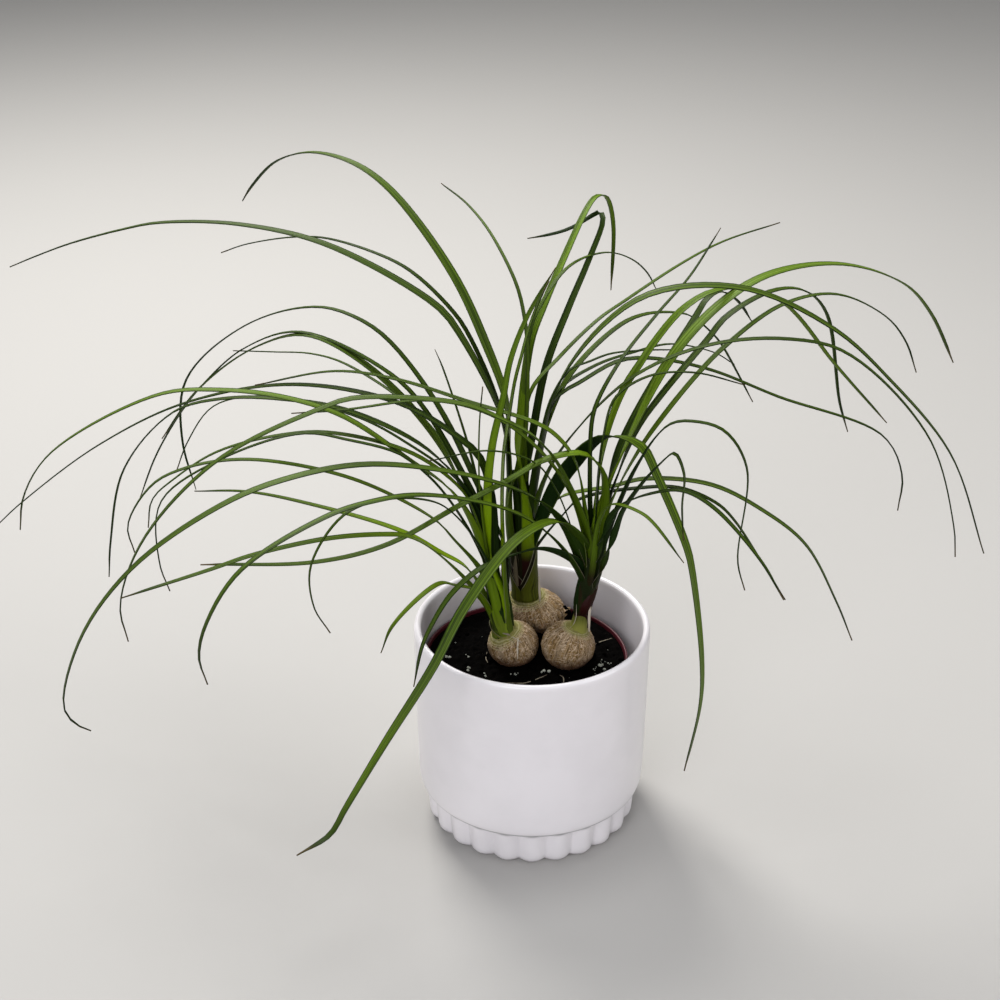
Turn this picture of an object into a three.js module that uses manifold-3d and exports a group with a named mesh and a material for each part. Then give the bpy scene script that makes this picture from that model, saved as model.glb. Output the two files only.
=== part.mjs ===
// Potted ponytail palm: three bulbs in a dark nursery pot, set in a white ceramic pot with a fluted foot.
// Millimetres, +Z up. The origin is the middle of the pot's underside, on the table.
// Azimuth 0 is +X, to the viewer's right, 90 is away from the viewer and 270 is towards the viewer.

import * as THREE from 'three';
import { mergeVertices } from 'three/addons/utils/BufferGeometryUtils.js';
import Module from 'manifold-3d';

const wasm = await Module();
wasm.setup();

// Driving dimensions of the ceramic pot
const potRadius = 67.5;
const potHeight = 126.5;
const potWall = 4.2;
const potFloor = 8.3;
const rimRounding = 2.6;
const ledgeHeight = 22;
const fluteCount = 24;
const fluteDepth = 3.2;
const fluteInnerRadius = 56;
const segmentsPerFlute = 4;

// Driving dimensions of the nursery pot, which stands a little left of the middle
const nurseryOffset = -3.3;
const nurseryRimHeight = 104;
const nurseryRimRadius = 58.6;
const nurseryBaseRadius = 44;
const nurseryWall = 1.2;
const nurseryLipHeight = 7;
const nurseryLipStep = 1.3;
const nurserySegments = 64;

// Driving dimensions of the soil and the bulbs
const soilEdgeHeight = 100.5;
const soilDome = 1.5;
const soilSegments = 48;
const clearance = 0.3;
const bulbs = {
  left: { centre: [-10.8, -0.2, 111.5], radii: [14.6, 14.6, 13.6], tilt: 0 },
  right: { centre: [20.7, -2.8, 112.2], radii: [15.4, 15.4, 14.2], tilt: 0 },
  back: { centre: [1.5, 33, 114.5], radii: [19, 16.5, 12.5], tilt: 10 },
};
const bulbSegments = 22;
const bulbRings = 12;

// The stem above each bulb: axis points and radii from the bulb to where the leaves part
const stems = {
  left: {
    axis: [[-15.2, -2.5, 116], [-17, -2, 127], [-18.5, 0, 142], [-21, 0.8, 158], [-25.8, 2.9, 176]],
    radii: [6.8, 6.4, 6, 4.4, 2.6],
  },
  right: {
    axis: [[25.2, -3.5, 118], [26.8, -3.2, 128], [28.5, -2, 142], [31.5, -2, 156], [34.8, -0.2, 171]],
    radii: [4.8, 4.3, 4.6, 4.4, 2.8],
  },
  back: {
    axis: [[-2.4, 32, 119], [-3.4, 31, 130], [-5, 30, 146], [-6, 30.5, 170], [-11, 33.8, 206]],
    radii: [8, 7.6, 7, 5.6, 3.2],
  },
};
const stemSides = 12;

// Leaf blades: a keeled section, widest low down and narrow at the tip
const keelDepth = 1.1;
const leastWidth = 1.2;
const rootSpread = 1.35;
const rootShare = 0.12;
const taperStart = 0.35;
const tipShare = 0.35;
const taperPower = 1.5;
const stepsPerSpan = 1.25;

// Each leaf leaves its stem's axis at the crown point, at the height of its root. Its path lists reach from
// that axis and height above the table, with an azimuth of its own where the leaf is folded and turns aside.
const crowns = {
  left: { x: -18.5, y: 0, rootHeight: 140 },
  right: { x: 28.5, y: -2, rootHeight: 140 },
  back: { x: -5, y: 30, rootHeight: 144 },
};

const leaves = {
  left: [
    {
      azimuth: 20,
      width: 5,
      path: [[-5, 168], [-7, 210], [-4, 240], [2, 266], [6, 287], [15, 310], [31, 336]],
    },
    { azimuth: 115, width: 2, path: [[13, 160], [23, 185], [38, 215], [77, 254], [88, 261]] },
    { azimuth: 195, width: 2.4, path: [[6, 165], [11, 212], [11, 251], [9, 274]] },
    {
      azimuth: 145,
      width: 3.6,
      path: [
        [7, 165], [18, 209], [43, 253], [75, 282], [97, 290], [126, 290], [182, 266], [237, 215],
        [244, 173],
        [236, 141],
      ],
    },
    {
      azimuth: 150,
      width: 3.6,
      path: [
        [8, 165], [19, 206], [46, 247], [67, 264], [128, 278], [170, 260], [206, 227], [225, 204],
        [247, 171],
        [264, 137],
      ],
    },
    {
      azimuth: 151,
      width: 6,
      path: [[9, 172], [21, 202], [46, 239], [83, 267], [122, 278], [159, 264], [205, 227], [237, 187]],
    },
    {
      azimuth: 130,
      width: 2.4,
      path: [
        [8, 163], [21, 193], [41, 215], [65, 229], [93, 236], [145, 239], [179, 234], [223, 221],
        [272, 206],
      ],
    },
    {
      azimuth: 157,
      width: 5,
      path: [
        [3, 160], [5, 206], [12, 229], [22, 237], [57, 252], [122, 253], [197, 229], [265, 188], [331, 134],
        [350, 116],
      ],
    },
    {
      azimuth: 175,
      width: 6,
      path: [
        [5, 157], [16, 192], [28, 211], [49, 227], [85, 252], [117, 262], [152, 265], [186, 261],
        [251, 223],
        [270, 195], [275, 173],
      ],
    },
    {
      azimuth: 165,
      width: 5,
      path: [
        [4, 160], [19, 207], [40, 230], [84, 248], [124, 251], [161, 247], [192, 235], [227, 194],
        [241, 144],
        [245, 119],
      ],
    },
    {
      azimuth: 160,
      width: 2.2,
      path: [
        [6, 166], [20, 208], [57, 232], [84, 242], [121, 246], [147, 245], [175, 234], [194, 208],
        [203, 188],
      ],
    },
    {
      azimuth: 175,
      width: 4.5,
      path: [
        [5, 154], [13, 193], [20, 209], [47, 231], [91, 242], [118, 240], [156, 228], [182, 210],
        [196, 196],
        [200, 178],
      ],
    },
    {
      azimuth: 185,
      root: 126,
      width: 3.2,
      path: [
        [2, 141], [13, 178], [30, 210], [42, 225], [55, 236], [81, 245], [106, 250], [153, 235], [184, 212],
        [188, 174], [184, 156],
      ],
    },
    {
      azimuth: 190,
      root: 128,
      width: 4.6,
      path: [
        [3, 133], [9, 158], [26, 183], [35, 195], [76, 223], [117, 238], [144, 242], [169, 239], [186, 231],
        [201, 208], [199, 191],
      ],
    },
    {
      azimuth: 205,
      root: 124,
      width: 5.6,
      path: [
        [4, 128], [16, 152], [41, 184], [55, 195], [68, 199], [100, 204], [142, 204], [165, 201],
        [212, 196],
      ],
    },
    {
      azimuth: 165,
      root: 122,
      width: 4.6,
      path: [[3, 127], [18, 158], [35, 167], [57, 177], [111, 187], [150, 190], [183, 186]],
    },
    {
      azimuth: 215,
      root: 128,
      width: 2.6,
      path: [
        [3, 142], [9, 170], [28, 203], [43, 217], [77, 228], [100, 225], [119, 203], [119, 178],
        [110, 158],
      ],
    },
    {
      azimuth: 225,
      root: 122,
      width: 4.6,
      path: [[5, 128], [18, 154], [33, 164], [47, 171], [81, 159], [90, 146]],
    },
    {
      azimuth: 325,
      width: 6,
      path: [
        [-5, 175], [-4, 197], [-2, 217], [2, 236], [5, 249], [10, 279], [14, 294], [18, 309], [24, 326],
        [30, 339],
      ],
    },
  ],
  right: [
    {
      azimuth: 190,
      width: 6.4,
      path: [
        [-4, 171], [15, 228], [29, 247], [47, 259], [67, 269], [124, 277], [143, 272], [197, 247],
        [239, 204],
        [255, 165], [253, 142],
      ],
    },
    {
      azimuth: 172,
      width: 4.6,
      path: [[-2, 168], [9, 211], [27, 236], [50, 253], [74, 260], [93, 260], [133, 252], [163, 248]],
    },
    {
      azimuth: 165,
      width: 4.6,
      path: [
        [-4, 168], [-1, 189], [0, 200], [6, 229], [17, 243], [28, 249], [65, 257], [107, 266], [142, 267],
        [191, 253],
      ],
    },
    {
      azimuth: 200,
      width: 6.4,
      path: [
        [-1, 158], [15, 197], [41, 220], [119, 248], [170, 247], [204, 237], [247, 212], [276, 178],
        [290, 137],
        [285, 125], [278, 119],
      ],
    },
    {
      azimuth: 213,
      root: 130,
      width: 5.6,
      path: [
        [0, 148], [14, 179], [44, 210], [102, 238], [132, 243], [159, 242], [207, 226], [227, 202],
        [232, 185],
        [229, 168],
      ],
    },
    {
      azimuth: 187,
      root: 130,
      width: 7,
      path: [
        [-4, 148], [-10, 191], [-9, 223], [1, 234], [22, 232], [42, 221], [69, 207], [110, 185], [149, 177],
        [211, 180],
      ],
    },
    {
      azimuth: 224,
      root: 128,
      width: 8,
      path: [
        [-5, 135], [-2, 170], [11, 192], [25, 202], [53, 201], [91, 175], [114, 148], [147, 118], [176, 90],
        [187, 79], [209, 78],
      ],
    },
    {
      azimuth: 215,
      root: 126,
      width: 4.6,
      path: [
        [-3, 131], [0, 159], [6, 169], [30, 185], [58, 187], [72, 185], [90, 175], [105, 156], [109, 147],
        [114, 127],
      ],
    },
    { azimuth: 184, width: 2.2, path: [[-1, 155], [4, 178], [16, 213], [28, 230], [52, 238], [86, 233]] },
    {
      azimuth: 30,
      width: 8.4,
      path: [
        [6, 166], [11, 200], [27, 235], [53, 278], [85, 304], [117, 315], [167, 312], [217, 291],
        [241, 268],
        [265, 231],
      ],
    },
    {
      azimuth: 55,
      width: 5,
      path: [
        [12, 162], [12, 201], [16, 224], [25, 245], [37, 260, 54], [43, 274, 46], [51, 286, 42], [65, 302, 37],
        [83, 310, 34], [104, 308, 32], [130, 295, 30], [164, 254, 27], [203, 211, 26],
      ],
    },
    {
      azimuth: 47,
      width: 6.4,
      path: [
        [14, 175], [18, 198], [28, 226], [54, 255], [77, 274], [94, 288], [101, 294], [113, 296],
        [131, 286],
        [149, 267],
      ],
    },
    {
      azimuth: 32,
      width: 5.4,
      path: [
        [11, 178], [18, 207], [35, 242], [50, 258], [80, 284], [91, 294], [124, 303], [148, 298],
        [166, 280],
        [183, 220], [192, 199],
      ],
    },
    {
      azimuth: 22,
      width: 4.6,
      path: [
        [9, 173], [16, 202], [32, 231], [45, 248], [65, 270], [81, 284], [114, 303], [148, 305], [183, 287],
        [199, 269], [209, 248],
      ],
    },
    {
      azimuth: 340,
      width: 3.6,
      path: [
        [6, 156], [11, 179], [28, 231], [45, 259], [59, 263], [75, 260], [88, 241], [87, 184],
        [92, 167],
      ],
    },
    {
      azimuth: 335,
      width: 4.4,
      path: [[7, 153], [18, 190], [23, 206], [42, 237], [50, 245], [56, 234], [56, 214], [58, 194]],
    },
    {
      azimuth: 326,
      width: 4.6,
      path: [[6, 163], [20, 206], [43, 223], [61, 229], [79, 224], [107, 202], [122, 183]],
    },
    { azimuth: 308, width: 3.6, path: [[7, 162], [12, 198], [21, 212], [45, 217], [55, 215], [79, 202]] },
    {
      azimuth: 57,
      width: 2.8,
      path: [
        [9, 163], [7, 187], [5, 207], [5, 252], [10, 261], [33, 276], [74, 290], [114, 301],
        [150, 319],
      ],
    },
    {
      azimuth: 12,
      width: 3.2,
      path: [[6, 167], [6, 190], [7, 223], [9, 243], [15, 266], [33, 277], [58, 277], [88, 267]],
    },
  ],
  back: [
    {
      azimuth: 155,
      width: 7,
      path: [
        [10, 206], [13, 236], [41, 286], [53, 298], [120, 323], [178, 327], [235, 320], [262, 312],
        [303, 297],
        [330, 285], [351, 275],
      ],
    },
    {
      azimuth: 140,
      width: 3.4,
      path: [
        [11, 217], [21, 249], [42, 282], [52, 291], [75, 304], [95, 310], [146, 312], [175, 307],
        [221, 292],
        [245, 281],
      ],
    },
    {
      azimuth: 135,
      width: 7,
      path: [
        [11, 217], [15, 248], [31, 277], [54, 308], [95, 341], [121, 353], [147, 357], [180, 354],
        [212, 341],
        [239, 318], [247, 309],
      ],
    },
    {
      azimuth: 112,
      width: 2.6,
      path: [[0, 221], [-4, 245], [-4, 287], [0, 300], [10, 314], [45, 331], [82, 338], [128, 338]],
    },
    {
      azimuth: 62,
      width: 5.6,
      path: [
        [-6, 223], [-3, 244], [8, 284], [23, 299], [54, 324], [72, 337], [82, 342], [90, 343], [103, 338],
        [113, 319], [113, 278],
      ],
    },
    {
      azimuth: 55,
      width: 5.6,
      path: [
        [3, 201], [10, 230], [22, 264], [44, 292], [63, 313], [78, 333], [81, 336, 57], [85, 335, 60],
        [84, 332, 63], [78, 328, 67], [74, 325, 72], [72, 322, 80], [74, 319, 88],
      ],
    },
    {
      azimuth: 55,
      width: 2.8,
      path: [
        [-3, 222], [0, 262], [5, 290], [12, 300], [40, 316], [80, 314], [111, 301], [131, 286],
        [144, 270],
      ],
    },
    {
      azimuth: 42,
      width: 3,
      path: [[2, 208], [4, 254], [27, 270], [56, 284], [78, 290], [124, 301], [159, 306], [212, 306]],
    },
    {
      azimuth: 357,
      width: 9,
      path: [
        [8, 208], [18, 259], [44, 298], [70, 316], [117, 319], [166, 297], [198, 269], [237, 224],
        [263, 162],
      ],
    },
    {
      azimuth: 35,
      width: 4.6,
      path: [
        [7, 200], [13, 224], [30, 257], [65, 280], [86, 283], [116, 276], [125, 270], [139, 257],
        [145, 250],
        [174, 205],
      ],
    },
    {
      azimuth: 37,
      width: 3.2,
      path: [
        [7, 193], [16, 231], [23, 250], [50, 259], [83, 260], [103, 259], [118, 255], [145, 243],
        [162, 231],
      ],
    },
    {
      azimuth: 20,
      width: 2.8,
      path: [[6, 201], [10, 227], [16, 250], [27, 266], [38, 269], [51, 272], [73, 271], [96, 268]],
    },
    {
      azimuth: 5,
      width: 5,
      path: [
        [5, 195], [10, 229], [19, 253], [31, 261], [52, 273], [70, 274], [103, 266], [143, 248], [206, 221],
        [220, 195], [220, 172],
      ],
    },
    {
      azimuth: 352,
      width: 5,
      path: [
        [3, 153], [12, 203], [32, 239], [62, 271], [99, 290], [140, 296], [172, 290], [220, 244],
        [240, 190],
        [243, 171],
      ],
    },
    {
      azimuth: 331,
      width: 9.4,
      path: [
        [3, 151], [14, 195], [28, 221], [50, 242], [71, 240], [82, 223], [101, 185], [105, 171], [114, 117],
        [115, 88], [108, 38],
      ],
    },
    {
      azimuth: 346,
      root: 138,
      width: 5.4,
      path: [
        [3, 153], [12, 182], [22, 194], [51, 204], [69, 211], [106, 212], [135, 200], [160, 182],
        [180, 148],
        [191, 124],
      ],
    },
    {
      azimuth: 346,
      root: 138,
      width: 4.4,
      path: [
        [3, 147], [24, 184], [33, 194], [66, 205], [89, 208], [110, 201], [120, 192], [140, 163],
        [152, 145],
      ],
    },
  ],
};

// A boolean solid from a closed geometry
function solidFrom(geometry) {
  const bare = geometry.clone();
  bare.deleteAttribute('normal');
  bare.deleteAttribute('uv');
  const merged = mergeVertices(bare, 1e-4);
  return new wasm.Manifold(new wasm.Mesh({
    numProp: 3,
    vertProperties: new Float32Array(merged.attributes.position.array),
    triVerts: new Uint32Array(merged.index.array),
  }));
}

// A geometry from a boolean solid
function geometryFrom(solid) {
  const mesh = solid.getMesh();
  const geometry = new THREE.BufferGeometry();
  geometry.setAttribute('position', new THREE.BufferAttribute(new Float32Array(mesh.vertProperties), 3));
  geometry.setIndex(new THREE.BufferAttribute(new Uint32Array(mesh.triVerts), 1));
  geometry.computeVertexNormals();
  return geometry;
}

// A closed body of revolution about +Z from [radius, height] points listed from the axis out and back to it
function turned(points, segments) {
  const profile = points.map(([radius, height]) => new THREE.Vector2(radius, height));
  return new THREE.LatheGeometry(profile, segments).rotateX(Math.PI / 2);
}

// A tapering body along a line of stations, each with its own ring of corners
function sweptBody(rings) {
  const sides = rings[0].length;
  const positions = [];
  const index = [];
  rings.forEach((ring) => ring.forEach((corner) => positions.push(corner.x, corner.y, corner.z)));
  for (let station = 0; station < rings.length - 1; station += 1) {
    for (let side = 0; side < sides; side += 1) {
      const next = (side + 1) % sides;
      const low = station * sides;
      const high = low + sides;
      index.push(low + side, low + next, high + next);
      index.push(low + side, high + next, high + side);
    }
  }
  const last = (rings.length - 1) * sides;
  for (let side = 1; side < sides - 1; side += 1) {
    index.push(0, side + 1, side);
    index.push(last, last + side, last + side + 1);
  }
  const geometry = new THREE.BufferGeometry();
  geometry.setAttribute('position', new THREE.Float32BufferAttribute(positions, 3));
  geometry.setIndex(index);
  return geometry;
}

// The ceramic pot: a smooth body above a ledge, and a foot whose rounded lobes stand out below the ledge
function ceramicPot() {
  const bore = potRadius - potWall;
  const profile = [
    [0, 0], [57, 0], [60, 1.2], [61.2, 4], [62, 12], [62.6, ledgeHeight - 0.4],
    [64.8, ledgeHeight + 1.2], [65.9, ledgeHeight + 4.5], [66.6, 50], [67.2, 95],
    [potRadius, potHeight - rimRounding], [potRadius - 0.7, potHeight - 0.6], [potRadius - 2.1, potHeight],
    [bore + 0.7, potHeight - 0.6], [bore, potHeight - rimRounding],
    [62.8, 80], [61.8, 34], [59, 14], [54, potFloor + 0.3], [0, potFloor],
  ];
  const geometry = turned(profile, fluteCount * segmentsPerFlute);
  const position = geometry.attributes.position;
  for (let i = 0; i < position.count; i += 1) {
    const x = position.getX(i);
    const y = position.getY(i);
    const radius = Math.hypot(x, y);
    const onFoot = position.getZ(i) < ledgeHeight && radius > fluteInnerRadius;
    if (onFoot) {
      const angle = Math.atan2(y, x);
      const valley = 1 - Math.abs(Math.cos(angle * fluteCount / 2));
      const share = 1 - fluteDepth * valley / radius;
      position.setX(i, x * share);
      position.setY(i, y * share);
    }
  }
  return geometryFrom(solidFrom(geometry));
}

// The nursery pot: a thin tapering cup with a deeper lip at its rim
function nurseryPot() {
  const base = potFloor + 2 * clearance;
  const lipFoot = nurseryRimHeight - nurseryLipHeight;
  const wallTop = nurseryRimRadius - nurseryLipStep;
  const profile = [
    [0, base], [nurseryBaseRadius, base], [wallTop, lipFoot], [nurseryRimRadius, lipFoot],
    [nurseryRimRadius, nurseryRimHeight - 0.4], [nurseryRimRadius - 0.4, nurseryRimHeight],
    [nurseryRimRadius - nurseryWall - 1, nurseryRimHeight], [wallTop - nurseryWall, lipFoot],
    [nurseryBaseRadius - nurseryWall, base + nurseryWall], [0, base + nurseryWall],
  ];
  return geometryFrom(solidFrom(turned(profile, nurserySegments)));
}

// One bulb: a squashed ball, tilted about the viewing direction where it leans
function bulbGeometry({ centre, radii, tilt }, grow = 0) {
  const geometry = new THREE.SphereGeometry(1, bulbSegments, bulbRings);
  geometry.rotateX(Math.PI / 2);
  geometry.scale(radii[0] + grow, radii[1] + grow, radii[2] + grow);
  geometry.rotateY(THREE.MathUtils.degToRad(tilt));
  geometry.translate(...centre);
  return geometry;
}

// The soil: fills the nursery pot, slightly domed, with a socket where each bulb sits
function soilGeometry() {
  const base = potFloor + 3 * clearance + nurseryWall;
  const inner = nurseryBaseRadius - nurseryWall - clearance;
  const lipFoot = nurseryRimHeight - nurseryLipHeight;
  const edge = nurseryRimRadius - nurseryLipStep - nurseryWall - 0.4;
  const top = soilEdgeHeight + soilDome;
  const profile = [
    [0, base], [inner, base], [edge, lipFoot], [edge, soilEdgeHeight],
    [edge * 0.7, soilEdgeHeight + soilDome * 0.6], [edge * 0.35, top], [0, top],
  ];
  const body = turned(profile, soilSegments).translate(nurseryOffset, 0, 0);
  return Object.values(bulbs).reduce((soil, bulb) => (
    soil.subtract(solidFrom(bulbGeometry(bulb, clearance)))
  ), solidFrom(body));
}

// The stem: a round tapering body along its axis
function stemGeometry({ axis, radii }) {
  const rings = axis.map(([x, y, z], station) => {
    const ring = [];
    for (let side = 0; side < stemSides; side += 1) {
      const angle = 2 * Math.PI * side / stemSides;
      const radius = radii[station];
      ring.push(new THREE.Vector3(x + radius * Math.cos(angle), y + radius * Math.sin(angle), z));
    }
    return ring;
  });
  return sweptBody(rings);
}

// How wide a blade is along its length, as a share of its stated width: spread at the root, narrow at the tip
function widthShare(share) {
  if (share < rootShare) return rootSpread - (rootSpread - 1) * share / rootShare;
  if (share < taperStart) return 1;
  return 1 - (1 - tipShare) * ((share - taperStart) / (1 - taperStart)) ** taperPower;
}

// One leaf blade: a keeled section along a smooth curve through the leaf's path
function leafGeometry({ azimuth, root, width, path }, crown) {
  const stations = [[0, root ?? crown.rootHeight], ...path].map(([reach, height, turn = azimuth]) => {
    const angle = THREE.MathUtils.degToRad(turn);
    return new THREE.Vector3(crown.x + reach * Math.cos(angle), crown.y + reach * Math.sin(angle), height);
  });
  const curve = new THREE.CatmullRomCurve3(stations, false, 'centripetal');
  const steps = Math.ceil((stations.length - 1) * stepsPerSpan);
  const facing = THREE.MathUtils.degToRad(azimuth);
  const across = new THREE.Vector3(-Math.sin(facing), Math.cos(facing), 0);
  const rings = [];
  for (let step = 0; step <= steps; step += 1) {
    const share = step / steps;
    const point = curve.getPoint(share);
    const keel = curve.getTangent(share).cross(across).normalize();
    const half = across.clone().multiplyScalar(Math.max(width * widthShare(share), leastWidth) / 2);
    rings.push([
      point.clone().sub(half),
      point.clone().add(half),
      point.clone().addScaledVector(keel, keelDepth),
    ]);
  }
  return sweptBody(rings);
}

// All of one plant above its bulb, in one body: the stem with every leaf rooted in it
function leafyStem(name) {
  const whole = leaves[name].reduce((plant, leaf) => (
    plant.add(solidFrom(leafGeometry(leaf, crowns[name])))
  ), solidFrom(stemGeometry(stems[name])));
  return whole.subtract(solidFrom(bulbGeometry(bulbs[name], clearance)));
}

function material(color, roughness) {
  return new THREE.MeshStandardMaterial({ color, roughness, metalness: 0 });
}

function named(name, geometry, look) {
  const mesh = new THREE.Mesh(geometry, look);
  mesh.name = name;
  return mesh;
}

const palm = new THREE.Group();

const nursery = named('nursery_pot', nurseryPot(), material(0x3a0f14, 0.5));
nursery.position.x = nurseryOffset;
palm.add(named('outer_pot', ceramicPot(), material(0xf0edf1, 0.25)));
palm.add(nursery);
palm.add(named('soil', geometryFrom(soilGeometry()), material(0x14100e, 0.95)));

for (const name of Object.keys(bulbs)) {
  palm.add(named(`bulb_${name}`, bulbGeometry(bulbs[name]), material(0x9b8a72, 0.9)));
  palm.add(named(`leaves_${name}`, geometryFrom(leafyStem(name)), material(0x3c5c22, 0.5)));
}

export default palm;
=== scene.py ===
"""Looks of a potted ponytail palm: three bulbs in a dark nursery pot, set in a white ceramic pot.

Sizes in the lists are millimetres, and the mesh code turns them into metres. +Z is up, +X is to the
viewer's right and +Y is away from the viewer. The origin is the middle of the pot's underside.
"""

import math

import bpy
import numpy as np
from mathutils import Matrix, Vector


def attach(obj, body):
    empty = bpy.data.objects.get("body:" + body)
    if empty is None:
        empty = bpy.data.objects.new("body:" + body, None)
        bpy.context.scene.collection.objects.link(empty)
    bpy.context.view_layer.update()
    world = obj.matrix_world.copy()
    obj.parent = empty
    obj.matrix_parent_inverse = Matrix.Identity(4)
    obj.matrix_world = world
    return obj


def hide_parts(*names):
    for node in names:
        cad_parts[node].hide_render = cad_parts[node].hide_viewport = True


bl_info = {
    "name": "Potted ponytail palm",
    "version": (1, 0, 0),
    "blender": (4, 5, 0),
    "location": "View3D > Sidebar > Palm",
    "description": "Builds a potted ponytail palm with three bulbs around its packed frame",
    "category": "Object",
}

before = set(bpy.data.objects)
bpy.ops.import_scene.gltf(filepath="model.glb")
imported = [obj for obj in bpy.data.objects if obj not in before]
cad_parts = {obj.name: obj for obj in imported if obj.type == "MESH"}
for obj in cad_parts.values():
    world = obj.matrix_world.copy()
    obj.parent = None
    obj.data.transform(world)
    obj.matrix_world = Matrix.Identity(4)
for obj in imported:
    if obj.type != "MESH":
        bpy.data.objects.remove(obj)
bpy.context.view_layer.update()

MM = 0.001
BODY = "root"
PLANTS = ("left", "right", "back")

# The ceramic pot from the middle of its underside out, up and back in, as radius and height
POT_PROFILE = [
    (0, 0.9), (50, 0.9), (52, 0.2), (55, 0), (57.4, 0.3), (59.6, 1.4), (60.9, 3.2), (61.6, 6), (62.1, 12),
    (62.5, 18), (62.6, 21), (62.7, 22.1), (63.4, 22.7), (64.5, 23.3), (65.3, 24.4), (65.8, 26.2), (66.1, 29),
    (66.4, 38), (66.7, 50), (67, 72), (67.2, 95), (67.4, 115), (67.5, 121), (67.5, 123.6), (67.2, 125.2),
    (66.4, 126.1), (65.4, 126.5), (64.4, 126.1), (63.6, 125.2), (63.3, 123.6), (63.2, 118), (62.8, 80),
    (61.8, 34), (59, 14), (54, 8.6), (0, 8.3),
]
FLUTE_TOP = 22.2
FLUTE_FADE = 0.8
FLUTE_INNER_RADIUS = 52

# The nursery pot and the soil in it, about an axis of their own
NURSERY_PROFILE = [
    (0, 8.9), (42, 8.9), (43.6, 9.2), (44.1, 10.2), (57.2, 96.4), (57.5, 97), (58.3, 97.1), (58.6, 97.5),
    (58.6, 103.2), (58.5, 103.8), (58.1, 104.1), (57.5, 104), (57.2, 103.4), (57, 102), (56.9, 97),
    (42.9, 11), (42.4, 10.2), (0, 10.1),
]
NURSERY_OFFSET = -3.3
SOIL_BASE = 10.4
SOIL_BASE_RADIUS = 42.4
SOIL_EDGE_RADIUS = 56.6
SOIL_LIP_FOOT = 97
SOIL_EDGE = 102
SOIL_DOME = 1.5

# Bulbs: middle, half sizes and lean in degrees
BULBS = {
    "left": {"centre": (-10.8, -0.2, 111.5), "radii": (14.6, 14.6, 13.6), "lean": 0},
    "right": {"centre": (20.7, -2.8, 112.2), "radii": (15.4, 15.4, 14.2), "lean": 0},
    "back": {"centre": (1.5, 33, 114.5), "radii": (19, 16.5, 12.5), "lean": 10},
}

# Stems: axis points and radii from the bulb to where the leaves part
STEMS = {
    "left": {
        "axis": [(-15.2, -2.5, 116), (-17, -2, 127), (-18.5, 0, 142), (-21, 0.8, 158), (-25.8, 2.9, 176)],
        "radii": [8, 6.8, 6.2, 4.4, 2.2],
    },
    "right": {
        "axis": [(25.2, -3.5, 118), (26.8, -3.2, 128), (28.5, -2, 142), (31.5, -2, 156), (34.8, -0.2, 171)],
        "radii": [6.4, 4.7, 4.6, 4.2, 2.2],
    },
    "back": {
        "axis": [(-2.4, 32, 119), (-3.4, 31, 130), (-5, 30, 146), (-6, 30.5, 170), (-11, 33.8, 206)],
        "radii": [9.5, 7.8, 7, 5.2, 2.2],
    },
}

# The crown of each plant: the place of its axis, the height where leaves root unless told otherwise, the
# height of their feet, how stained the feet are and in which direction most, how far up a blade stays
# broad, the width of a foot as a multiple, the radius of the bunch, and how tight the feet lie on the stem
CROWNS = {
    "left": {
        "x": -18.5, "y": 0, "root": 140, "foot": 119, "stain": 0, "stained": 180,
        "broad": 75, "spread": 1.25, "wide": 6.8, "tight": 0.8,
    },
    "right": {
        "x": 28.5, "y": -2, "root": 142, "foot": 135, "stain": 1, "stained": 215,
        "broad": 60, "spread": 1.3, "wide": 3.7, "tight": 0.93,
    },
    "back": {
        "x": -5, "y": 30, "root": 144, "foot": 128, "stain": 0.9, "stained": 250,
        "broad": 50, "spread": 1.2, "wide": 7.4, "tight": 0.9,
    },
}


def leaf(azimuth, width, tone, warm, path, root=None, base=None, spread=None, dull_and_shaded=0.5, proud=0,
         roll=((0, 0),)):
    """One leaf: its direction in degrees, its width, its tone from dark 0 to light 1, partly the leaf's own
    green and partly painted light and shade, its hue from grey-green 0 to yellow-green 1, and its path as
    way-points of reach and height, with a direction of their own where the leaf turns aside. The others
    are the height of its root, the direction of its foot round the stem, the width of its foot as a
    multiple, how dark its underside is, partly duller and partly painted shade, how far its foot stands
    out of the bunch, and its roll as pairs of share of its length and degrees."""
    return {
        "azimuth": azimuth, "width": width, "tone": tone, "warm": warm, "path": path, "root": root,
        "base": base, "spread": spread, "dull_and_shaded": dull_and_shaded, "proud": proud, "roll": roll,
    }


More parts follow.
